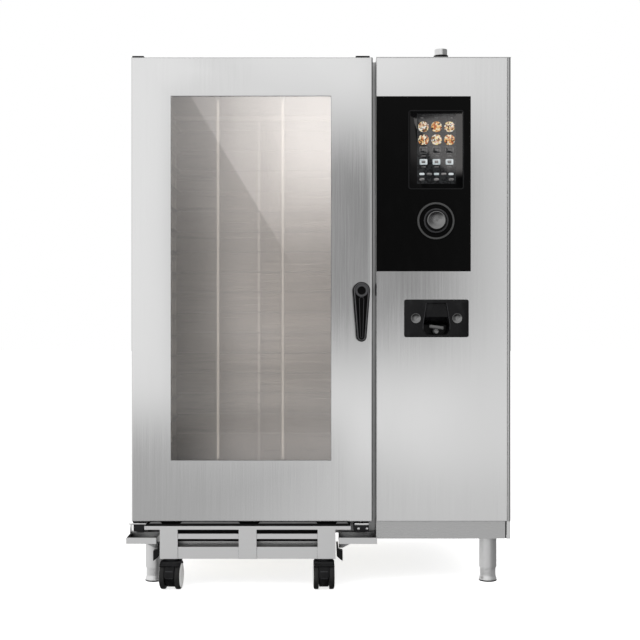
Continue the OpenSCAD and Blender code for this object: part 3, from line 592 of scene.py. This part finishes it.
def build_display(low, high):
    """The lit area: two rows of picture tiles, two rows of square keys, two rows of small marks."""
    base, warm, pale, key, key_light = range(5)
    looks = [
        picture_tile("display_base", [(0.006, 0.006, 0.007), (0.022, 0.024, 0.025)], 190),
        picture_tile("tile_warm", [(0.05, 0.03, 0.02), (0.75, 0.32, 0.1), (0.95, 0.85, 0.62),
                                   (0.5, 0.14, 0.06), (0.9, 0.6, 0.25)], 210),
        picture_tile("tile_pale", [(0.9, 0.88, 0.8), (0.35, 0.16, 0.07), (0.95, 0.78, 0.4),
                                   (0.1, 0.07, 0.05), (0.8, 0.5, 0.35)], 240),
        picture_tile("key_grey", [(0.12, 0.12, 0.12), (0.22, 0.21, 0.21)], 160),
        picture_tile("key_light", [(0.75, 0.8, 0.82), (0.55, 0.62, 0.64)], 160),
    ]
    left, right = low.x + 25 * MM, high.x - 23 * MM
    bottom, top = low.z + 15 * MM, high.z - 8 * MM
    middle = (left + right) / 2
    face = low.y - 0.15 * MM
    step = 0.1 * MM
    bm = bmesh.new()

    def tile(offset, down, width, height, radius, slot, lift=2):
        """One picture or key, off the display's middle line and down from its top."""
        x, z = middle + offset * MM, top - down * MM
        half_w, half_h = width / 2 * MM, height / 2 * MM
        slab(bm, (x - half_w, x + half_w, z - half_h, z + half_h), radius * MM, face - lift * step,
             face + step, 0.05 * MM, slot)

    slab(bm, (left, right, bottom, top), 1.5 * MM, face, low.y + 0.3 * MM, 0.05 * MM, base)
    for column in (-1, 0, 1):
        near, far = column * 44, column * 49.5
        # Round pictures
        tile(near, 44, 35, 35, 15, warm if column % 2 == 0 else pale)
        tile(near, 88, 35, 35, 15, pale if column % 2 == 0 else warm)
        # Outlined keys, pale keys and the captions under both
        tile(near, 123, 26, 23, 2, key)
        tile(near, 123, 22, 19, 1.5, base, 3)
        tile(near, 123, 14, 3, 1, key, 4)
        tile(near, 163, 26, 19, 3, key_light)
        tile(near, 163, 13, 9, 1.5, key, 3)
        tile(near, 143, 15, 2.2, 0.9, key)
        tile(near, 180, 15, 2.2, 0.9, key)
        # Marks along the foot and the head of the display
        tile(far, 222, 17, 8, 3.5, key)
        tile(far, 14, 10, 2, 0.8, key)
    for column in range(-2, 3):
        tile(column * 24.7, 204, 17, 7.5, 3, key_light if column % 2 == 0 else key)
    piece("screen_display", bm, "cabinet", looks, (), 30)


# ---------------------------------------------------------------- shower dock

# Right side of the trough's outline, from its narrow top down to its foot, as (x, z)
TROUGH_SIDE = ((34, 52), (35, 41), (37, 30), (39, 18), (41, 5), (43, -8), (45, -22), (44.5, -38),
               (40, -48), (33, -55.5))


def trough(x, z, grow, y, deep=0.0):
    """Trough outline at depth y, widened by grow; deep lets it run back towards its lower end."""
    points = []
    for side in (1, -1):
        for px, pz in TROUGH_SIDE[::-side]:
            share = min(1, max(0, (6 - pz) / 32))
            back = deep * share * share * (3 - 2 * share)
            rise = grow if pz > 40 else 0
            points.append(Vector((x, y, z)) + mm(side * (px + grow), back, pz + rise))
    return points


def build_dock():
    """The dock's plate with its trough, the rims beside the trough, and two dished screw caps."""
    low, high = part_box("dock_plate")
    x, z = (low.x + high.x) / 2, (low.z + high.z) / 2
    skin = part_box("column_front")[0].y
    front = skin - 5 * MM
    # Outer outline and trough outline joined by a flat face, then the trough's walls and floor
    bm = bmesh.new()
    plate = ((7, 0, 5), (7, 0, 1.2), (6.6, 0.4, 0.4), (6, 1.2, 0))
    outer = rings(bm, [rounded_rect(low.x, high.x, low.z, high.z, radius * MM, front + depth * MM,
                                    inset * MM) for radius, inset, depth in plate], closed=False)[-1]
    section = ((2.5, 0, 0), (1.6, -1.6, 0), (-0.4, -1.4, 0), (-1.2, 1, 0), (-2.5, 3, 42), (-6, 4, 57))
    loops = rings(bm, [trough(x, z, grow, front + depth * MM, deep)
                       for grow, depth, deep in section], closed=False)
    well, floor = loops[0], loops[-1]
    for i in range(len(floor) // 2 - 1):
        bm.faces.new((floor[i], floor[i + 1], floor[-2 - i], floor[-1 - i]))
    edges = []
    for ring in (outer, well):
        for a, b in zip(ring, ring[1:] + ring[:1]):
            edges.append(bm.edges.get((a, b)) or bm.edges.new((a, b)))
    bmesh.ops.triangle_fill(bm, edges=edges, use_beauty=True)
    piece("dock_face", bm, "cabinet", PLASTIC, ["dock_plate"], 40)
    # Raised rims along the trough's sides
    bm = bmesh.new()
    across = [mm(*p, 0) for p in ((-1.3, 0.6), (-1, -0.8), (0, -1.3), (1, -0.8), (1.3, 0.6))]
    line = trough(x, z, 0.8, front - 1 * MM)
    count = len(TROUGH_SIDE)
    for half in (line[2:count], line[count:-2]):
        rings(bm, [[point + offset for offset in across] for point in half])
    piece("dock_rims", bm, "cabinet", SOFT_PLASTIC)
    cap = [(17, -1), (17, 3.2), (16.4, 4), (15.4, 4)]
    cap += [(15 * k / 8, 0.3 + 3.5 * (k / 8) ** 2) for k in range(8, -1, -1)]
    for tag, side in (("left", -1), ("right", 1)):
        turned("dock_cap_" + tag, cap, facing_front(x + side * 70 * MM, front, z), "cabinet",
               GUNMETAL)
    build_shower(x, z - 44.6 * MM)


def build_shower(x, z):
    """Hand shower in its dock: nozzle, ribbed grip, braided hose, and the lever on top."""
    low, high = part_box("hand_shower")
    turn = Matrix.Translation((x, 0, z)) @ Matrix.Rotation(math.radians(8), 4, "Y")
    tip = Vector((0, low.y, 0))
    # Local z runs from the nozzle's tip towards the back
    out = turn @ Matrix.Translation(tip) @ Matrix.Rotation(-math.pi / 2, 4, "X")
    turned("shower_nozzle", [(0, 3), (4.4, 3), (4.8, 0.6), (6.4, 0), (7.6, 0.8), (8, 2.4), (8, 6.5),
                             (7.2, 7), (7.2, 8), (8, 8.5), (8, 12)], out, "shower", GUNMETAL, 48,
           ["hand_shower"])
    build_grip(turn, out, low.y)
    length = (high.y - low.y) / MM
    pitch = 4
    hose = [(0, 50)]
    for i in range(int((length - 54) / pitch)):
        y = 52 + i * pitch
        hose += [(7.3, y), (7.95, y + pitch * 0.35), (7.95, y + pitch * 0.65)]
    hose += [(7.3, length - 1), (0, length)]
    turned("shower_hose", hose, out, "shower", GREY_PLASTIC, 32)
    # Lever: a rounded bar with an arm back to its pin between two ears
    bm = bmesh.new()
    rounded_box(bm, tip + mm(-25.4, 12, 8.6), tip + mm(25.4, 21, 20.6), 4.4, 4, turn)
    rounded_box(bm, tip + mm(-5.4, 20, 10.1), tip + mm(5.4, 50, 16.9), 2.4, 3, turn)
    piece("shower_trigger_bar", bm, "shower_trigger", LEVER_GREY, ["shower_lever"], 45)
    boxed("shower_ears", "shower", SOFT_PLASTIC,
          *[(tip + mm(mid - 2, 40, 0), tip + mm(mid + 2, 52, 19), 1.5, 3, turn) for mid in (-9, 9)])


def build_grip(turn, out, y0):
    """The grip, kept below the flat of the CAD body that lies under the lever."""
    end = 54
    profile = [(0, 9), (9, 9), (10.6, 10), (11, 12)]
    for i in range(6):
        y = 24 + i * 4.2
        profile += [(11, y), (11.9, y + 1.2), (11.9, y + 2.6), (11, y + 3.8)]
    profile += [(10.5, end - 2), (8.6, end), (8, end + 3), (0, end + 3)]
    bm = bmesh.new()
    lathe(bm, profile, out, 48)
    flat_start, flat_end, flat_top = 10 * MM, 24.5 * MM, 2 * MM
    unturn = turn.inverted()
    for v in bm.verts:
        local = unturn @ v.co
        if flat_start < local.y - y0 < flat_end and local.z > flat_top:
            local.z = flat_top
            v.co = turn @ local
    piece("shower_grip", bm, "shower", SOFT_PLASTIC, (), 45)


# ---------------------------------------------------------------- castors

# How far each castor has swivelled at rest, in degrees
CASTORS = {"fl": -4, "fr": 1, "rl": 6, "rr": -4}
BRAKED = ("fl", "fr")
TRAIL = 22
HALF_WIDTH = 35
TREAD_WIDTH = 18
SPINE_HALF = 16.4


def castor_frame(tag):
    """The castor's local frame: z up from the floor, y along its trail, origin on the swivel axis."""
    joint = next(j for j in frame["joints"] if j["name"] == f"castor_{tag}_swivel")
    return (Matrix.Translation((joint["pos_m"][0], joint["pos_m"][1], 0))
            @ Matrix.Rotation(math.radians(CASTORS[tag]), 4, "Z"))


def arc_shell(bm, matrix, inner, outer, half, start, end, steps=28, edge=2):
    """An arc about matrix's x axis between two radii, with a rounded outer edge."""
    soft = 0.3 * edge
    section = [(-half, inner), (-half, outer - edge), (-half + soft, outer - soft),
               (-half + edge, outer), (half - edge, outer), (half - soft, outer - soft),
               (half, outer - edge), (half, inner)]
    loops = []
    for i in range(steps + 1):
        t = math.radians(start + (end - start) * i / steps)
        loops.append([matrix @ mm(x, r * math.cos(t), r * math.sin(t)) for x, r in section])
    rings(bm, loops)


def build_castor(tag):
    """Housing over both wheels, swivel neck, tyres, light hub caps and, in front, the brake."""
    m = castor_frame(tag)
    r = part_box("wheels_" + tag)[1].z / 2 / MM
    axle = m @ Matrix.Translation(mm(0, -TRAIL, r))
    fork, pair = f"castor_{tag}_fork", f"wheels_{tag}_pair"
    # Hood over both wheels and the spine between them
    bm = bmesh.new()
    arc_shell(bm, axle, r + 1.5, r + 4.5, HALF_WIDTH, 46, 134)
    arc_shell(bm, axle, 6, 38, SPINE_HALF, -180, 46, 40, 3)
    arc_shell(bm, axle, 6, r + 2, SPINE_HALF, 46, 180, 24, 1)
    piece(f"castor_{tag}_hood", bm, fork, PLASTIC, ["castor_" + tag], 40)
    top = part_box("castor_" + tag)[1].z / MM
    above = 2 * r + 1
    turned(f"castor_{tag}_neck", [(0, above), (32, above), (33, above + 1), (33, top - 2),
                                  (32, top - 1), (14, top - 1), (14, top), (0, top)],
           m, fork, PLASTIC, 48)
    build_wheels(tag, axle, r, pair)
    if tag in BRAKED:
        build_pedal(tag, m)


def build_wheels(tag, axle, r, pair):
    """Tyres with rounded shoulders and a moulded step, and hub caps, on a thin axle."""
    half = HALF_WIDTH
    start = half - TREAD_WIDTH
    tyre = [(7, start + 0.3), (r - 5, start + 0.3), (r - 1.2, start + 1), (r - 0.2, start + 3),
            (r, start + 6), (r, half - 7), (r - 0.3, half - 4.5), (r - 1.4, half - 2.2),
            (r - 3.4, half - 0.8), (r - 4.6, half - 0.4), (r - 5.4, half - 1), (r - 6, half - 2.2),
            (10, half - 2.6)]
    cap = [(r - 5.6, half - 3), (r - 5.8, half - 0.4), (r - 8, half + 0.6), (r - 18, half + 1.8),
           (14, half + 2.2), (12.5, half + 1.4), (8, half + 1.3), (0, half + 1.6)]
    tyres, caps = bmesh.new(), bmesh.new()
    for side in (-1, 1):
        out = axle @ Matrix.Rotation(math.radians(90 * side), 4, "Y")
        lathe(tyres, tyre, out, 72)
        lathe(caps, cap, out, 72)
    end = half - 4
    lathe(tyres, [(0, -end), (5, -end), (5, end), (0, end)],
          axle @ Matrix.Rotation(math.radians(90), 4, "Y"), 24)
    piece(f"castor_{tag}_tyres", tyres, pair, TREAD, ["wheels_" + tag])
    piece(f"castor_{tag}_caps", caps, pair, HUB)


def build_pedal(tag, m):
    """Brake pedal: a ridged shoe on an arm that turns about a cross pin."""
    pivot = mm(0, -TRAIL - 28, 66)
    bm = bmesh.new()
    rounded_box(bm, pivot + mm(-13, -16, -24), pivot + mm(13, -12, 2), 1.6, 3, m)
    rounded_box(bm, pivot + mm(-7.5, -13, -5), pivot + mm(7.5, 0, 2), 1, 2, m)
    for up in (-20, -15, -10):
        rounded_box(bm, pivot + mm(-9, -17, up), pivot + mm(9, -15.5, up + 1.6), 0.7, 2, m)
    side = m @ Matrix.Translation(pivot + mm(-14, 0, 0)) @ Matrix.Rotation(math.pi / 2, 4, "Y")
    lathe(bm, [(0, 0), (3, 0), (3, 28), (0, 28)], side, 24)
    piece(f"brake_pedal_{tag}_shoe", bm, "brake_" + tag, SOFT_PLASTIC, ["brake_pedal_" + tag], 40)


# ---------------------------------------------------------------- feet and small parts

FOOT_R = 31 * MM


def build_feet():
    """Four turned feet with grip grooves, each on a black pad."""
    low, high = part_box("feet")
    foot = [(30.2, 4.2), (30.4, 7), (29, 12), (27.2, 17), (27, 20)]
    for i in range(5):
        z = 22 + 5 * i
        foot += [(27, z), (26.2, z + 0.8), (26.2, z + 1.8), (27, z + 2.6)]
    foot += [(27, 47), (26, 48), (26, 60), (0, 60)]
    pad = [(0, 0), (29.5, 0), (31, 1.2), (31, 3.6), (30.4, 4.6), (24, 4.6)]
    feet, pads = bmesh.new(), bmesh.new()
    for x in (low.x + FOOT_R, high.x - FOOT_R):
        for y in (low.y + FOOT_R, high.y - FOOT_R):
            m = Matrix.Translation((x, y, 0))
            lathe(feet, foot, m)
            lathe(pads, pad, m)
    piece("feet_bodies", feet, "cabinet", FRAME_STEEL, ["feet"])
    piece("feet_pads", pads, "cabinet", PLASTIC)


def build_exhaust_collar():
    """Rubber collar around the pipe where it leaves the roof."""
    low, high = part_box("exhaust_pipe")
    pipe_r = 25 * MM
    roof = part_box("roof_panel")[1].z
    turned("exhaust_collar", [(22.2, 30.4), (24.2, 30.4), (25.4, 29), (25.4, 8), (27, 5), (30, 1.5),
                              (30, 0.1)],
           Matrix.Translation((high.x - pipe_r, (low.y + high.y) / 2, roof)), "cabinet", RUBBER)


def build_latch_details():
    """Screws and wear strip of the lower latch block."""
    low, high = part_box("latch_strikes")
    bm = bmesh.new()
    for share in (0.3, 0.82):
        x = low.x + share * (high.x - low.x)
        lathe(bm, [(5, 0), (5, 1.4), (4, 2.6), (2, 2.9), (1.6, 1.4), (0, 1.4)],
              facing_front(x, low.y, low.z + 9 * MM), 32)
    piece("latch_screws", bm, "cabinet", BRIGHT)
    right = Vector((high.x, low.y, low.z))
    boxed("latch_wear_strip", "cabinet", BRIGHT, (low + mm(3, -1, 21), right + mm(-3, 3, 28), 1))


def build_shelf_details():
    """Rubber mat with a raised strip, four low ramps and a draught strip, on the trolley's shelf."""
    low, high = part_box("trolley_chassis")
    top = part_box("door_skin")[0].z - 8 * MM
    left, right = Vector((low.x, low.y, top)), Vector((high.x, low.y, top))
    boxed("shelf_mat", "trolley", MATT_BLACK,
          (left + mm(2, 56, -0.2), right + mm(-2, 68, 6), 2.5),
          (left + mm(1, 1.5, -0.4), right + mm(-1, 58, 0.8), 0.5, 2))
    # Depth, height and how far the ends are drawn in, along each ramp's section
    section = ((47, 0, 0), (50, 6, 7), (55, 6.2, 7), (57, 0, 0))
    width = (right.x - left.x) / MM
    bm = bmesh.new()
    for start, end in ((0.012, 0.076), (0.165, 0.458), (0.548, 0.838), (0.928, 0.99)):
        rings(bm, [[left + mm(start * width + cut, y, z) for y, z, cut in section],
                   [left + mm(end * width - cut, y, z) for y, z, cut in section]])
    piece("shelf_ramps", bm, "trolley", LEVER_GREY, (), 30)
    # Behind the cross beam, below the shelf
    boxed("draught_strip", "trolley", RUBBER, (low + mm(54, 70, 42), right + mm(-54, 73, -4), 1))


def build_plinth_gap_shade():
    """Black strip between the plinth's end and the side panel, standing in for the shade in that gap."""
    low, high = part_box("plinth")
    foot = Vector((high.x, low.y, low.z))
    boxed("plinth_seal", "cabinet", RUBBER,
          (foot + mm(0.2, 1, 1), foot + mm(4, 9, (high.z - low.z) / MM - 1), 0.8))


def build_hinge_plate():
    """Bright plate at the foot of the lower hinge, in front of its black block."""
    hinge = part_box("hinge_brackets")[0]
    corner = Vector((hinge.x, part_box("door_skin")[0].y, hinge.z)) + mm(-11, 1, 0)
    boxed("hinge_plate", "cabinet", BRIGHT, (corner + mm(0, 0, 24.5), corner + mm(61, 4, 29), 1),
          (corner + mm(4, 0, -5), corner + mm(14, 4, 26), 1))


def build_door_switch():
    """Switch on the column's edge, beside the top of the handle."""
    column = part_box("column_front")[0]
    middle = Vector((column.x, column.y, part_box("door_handle")[1].z)) - mm(0, 0, 25)
    boxed("door_switch", "cabinet", PLASTIC, (middle + mm(-3, 4, -20), middle + mm(0.5, 24, 20), 1.4))


# ---------------------------------------------------------------- studio

# Where the camera stands: across, in front of the door, and above the floor, in metres
EYE_X, EYE_DISTANCE, EYE_HEIGHT = 0.0011, 4.0, 0.903
LENS = 66.3
# Share of the card that both faces of the door's pane mirror together
CARD_MIRROR = PANE_MIRROR * 1.85
CARD_SIDE = 3.2
CARD_POWER = 4


def build_world():
    """White to the camera, even for diffuse light, and a patterned studio for reflections."""
    world = bpy.data.worlds.new("studio")
    bpy.context.scene.world = world
    world.use_nodes = True
    n = Nodes(world.node_tree)
    direction = n.add("ShaderNodeTexCoord").outputs["Generated"]
    x, y, z = n.add("ShaderNodeSeparateXYZ", {0: direction}).outputs
    ahead = n.math("MAXIMUM", n.product(y, -1.0), 0.05)
    across = n.math("DIVIDE", x, ahead)
    up = n.math("DIVIDE", z, ahead)
    # Bright wall, darker lower part, and a dark flag to the right of the middle
    shift = n.smooth(across, 0.0, 0.09, 0.0, 0.045)
    lower = n.smooth(n.sum(up, shift), -0.064, -0.106)
    floor_tone = n.smooth(across, -0.17, 0.1, 0.52, 0.76)
    dip = n.product(n.smooth(across, -0.16, -0.125), n.smooth(across, -0.045, -0.1))
    wall = n.math("SUBTRACT", n.smooth(across, 0.09, 0.135, 1.08, 0.92), n.product(dip, 0.13))
    bright = n.blend(lower, wall, floor_tone)
    flag_x = n.product(n.smooth(across, -0.15, 0.0), n.smooth(across, 0.17, 0.085))
    flag_z = n.product(n.smooth(up, 0.205, 0.115), n.smooth(up, -0.075, 0.02))
    pattern = n.blend(n.product(flag_x, flag_z), bright, 0.33)
    # Elsewhere: light from the left and above, dark to the right and below
    sides = n.blend(n.smooth(z, 0.2, 0.7), n.smooth(x, 0.5, -0.5, 0.28, 1.0), 0.9)
    sides = n.product(sides, n.smooth(z, -0.5, -0.15, 0.12, 1.0))
    seen = n.blend(n.smooth(y, -0.84, -0.94), sides, pattern)
    path = n.add("ShaderNodeLightPath")
    level = n.blend(path.outputs["Is Glossy Ray"], 1.04, seen)
    level = n.blend(path.outputs["Is Camera Ray"], level, 1.0)
    background = n.add("ShaderNodeBackground", {"Color": grey(1.0), "Strength": level})
    out = n.add("ShaderNodeOutputWorld")
    n.tree.links.new(background.outputs[0], out.inputs["Surface"])


def window_glare(n, x, z):
    """Bright to the upper right of a diagonal, over a haze that rises to the right and to the top."""
    haze = n.product(n.smooth(x, -0.52, -0.2, 0.0, 0.92),
                     n.sum(n.smooth(z, -0.2, -0.02, 0.1, 0.2), n.smooth(z, -0.33, -0.42, 0.0, 0.08)))
    upper = n.smooth(z, 0.2, 0.65, 0.0, 0.12)
    wedge = n.smooth(n.sum(x, n.product(z, 0.603)), 0.014, 0.024)
    fall = n.smooth(z, 0.12, 0.66, 0.0, 0.44)
    fade = n.smooth(x, -0.36, 0.04, 0.22, 1.0)
    bright = n.product(n.product(wedge, fall), fade)
    return n.math("DIVIDE", n.sum(n.sum(haze, upper), bright), CARD_MIRROR)


def screen_glare(n, x, z):
    """A band over the upper right part of the touchscreen, fading downwards."""
    slant = n.sum(x, n.product(z, 0.38))
    return n.product(n.smooth(slant, 0.654, 0.66), n.smooth(z, 0.55, 0.72, 0.0, 22.0))


def build_reflection_card(eye, glass_y):
    """A big soft light behind the camera that only the door's glass and the screen reflect."""
    distance = glass_y - eye.y + 0.3
    scale = 1 + distance / (glass_y - eye.y)
    data = bpy.data.lights.new("reflection_card", "AREA")
    data.shape = "SQUARE"
    data.size = CARD_SIDE * scale
    data.energy = CARD_POWER * data.size ** 2
    data.use_nodes = True
    n = Nodes(data.node_tree)
    axes = n.add("ShaderNodeSeparateXYZ", {0: n.add("ShaderNodeNewGeometry").outputs["Position"]})
    # Back to metres on the glass, from the eye's mirror line
    x = n.math("DIVIDE", n.math("SUBTRACT", axes.outputs[0], eye.x), scale)
    z = n.math("DIVIDE", n.math("SUBTRACT", axes.outputs[2], eye.z), scale)
    level = n.blend(n.smooth(x, 0.1, 0.12), window_glare(n, x, z), screen_glare(n, x, z))
    lit = n.add("ShaderNodeEmission", {"Color": tone((1, 0.965, 0.95)), "Strength": level})
    out = n.add("ShaderNodeOutputLight")
    n.tree.links.new(lit.outputs[0], out.inputs["Surface"])
    card = bpy.data.objects.new("reflection_card", data)
    bpy.context.scene.collection.objects.link(card)
    card.location = (eye.x, glass_y - distance, eye.z)
    card.rotation_euler = (math.pi / 2, 0, 0)
    card.visible_camera = False
    card.visible_diffuse = False
    card.visible_transmission = False
    receivers = bpy.data.collections.new("reflection_card_receivers")
    for name in ("outer_glass", "screen_glass", "screen_display"):
        receivers.objects.link(bpy.data.objects[name])
    card.light_linking.receiver_collection = receivers


def area_light(name, place, aim, size, watts, tint=(1, 1, 1)):
    """A rectangular light that the camera doesn't see."""
    data = bpy.data.lights.new(name, "AREA")
    data.shape = "RECTANGLE"
    data.size, data.size_y = size
    data.energy = watts
    data.color = tint
    made = bpy.data.objects.new(name, data)
    bpy.context.scene.collection.objects.link(made)
    made.location = place
    made.rotation_euler = (Vector(aim) - Vector(place)).to_track_quat("-Z", "Y").to_euler()
    made.visible_camera = False
    return made


def build_camera(eye):
    """A level camera that looks straight at the front."""
    camera = bpy.data.objects.new("camera", bpy.data.cameras.new("camera"))
    bpy.context.scene.collection.objects.link(camera)
    camera.location = eye
    camera.rotation_euler = (math.pi / 2, 0, 0)
    camera.data.sensor_width = 36
    camera.data.lens = LENS
    bpy.context.scene.camera = camera


def build_floor():
    """Pale floor. A little glow, seen by the camera only, keeps the shadows on it light."""
    far = 30
    mesh = bpy.data.meshes.new("floor")
    mesh.from_pydata([(-far, -far, 0), (far, -far, 0), (far, far, 0), (-far, far, 0)], [],
                     [(0, 1, 2, 3)])
    floor = bpy.data.objects.new("floor", mesh)
    bpy.context.scene.collection.objects.link(floor)
    made, n = material("pale_floor")
    seen = n.add("ShaderNodeLightPath").outputs["Is Camera Ray"]
    glow = n.add("ShaderNodeEmission", {"Strength": n.product(seen, 0.75)})
    matt = n.add("ShaderNodeBsdfDiffuse", {"Color": grey(0.95)})
    finish_surface(n, n.add("ShaderNodeAddShader", {0: matt.outputs[0], 1: glow.outputs[0]}))
    mesh.materials.append(made)
    floor.visible_glossy = False


def build_lights():
    """A soft key light from the upper left, and an even glow just behind the door's inner pane."""
    key = area_light("key", (-2.2, -3.2, 3.6), (0, 0, 0.9), (2.4, 2.4), 60)
    key.visible_glossy = False
    pane_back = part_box("inner_glass")[1].y
    middle = centre("inner_glass")
    x = middle.x + 0.06
    glow = area_light("chamber_glow", (x, pane_back + 0.03, middle.z), (x, pane_back + 1, middle.z),
                      (0.5, 1.25), 1.9, (1, 0.985, 0.97))
    glow.visible_transmission = False


def build_studio():
    bpy.context.scene.view_settings.view_transform = "Standard"
    eye = Vector((EYE_X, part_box("door_skin")[0].y - EYE_DISTANCE, EYE_HEIGHT))
    build_camera(eye)
    build_world()
    build_reflection_card(eye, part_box("outer_glass")[0].y)
    build_floor()
    build_lights()


dress_cad_nodes()
build_handle()
build_knob()
build_screen()
build_dock()
for castor in CASTORS:
    build_castor(castor)
build_feet()
build_exhaust_collar()
build_latch_details()
build_shelf_details()
build_plinth_gap_shade()
build_hinge_plate()
build_door_switch()
build_studio()
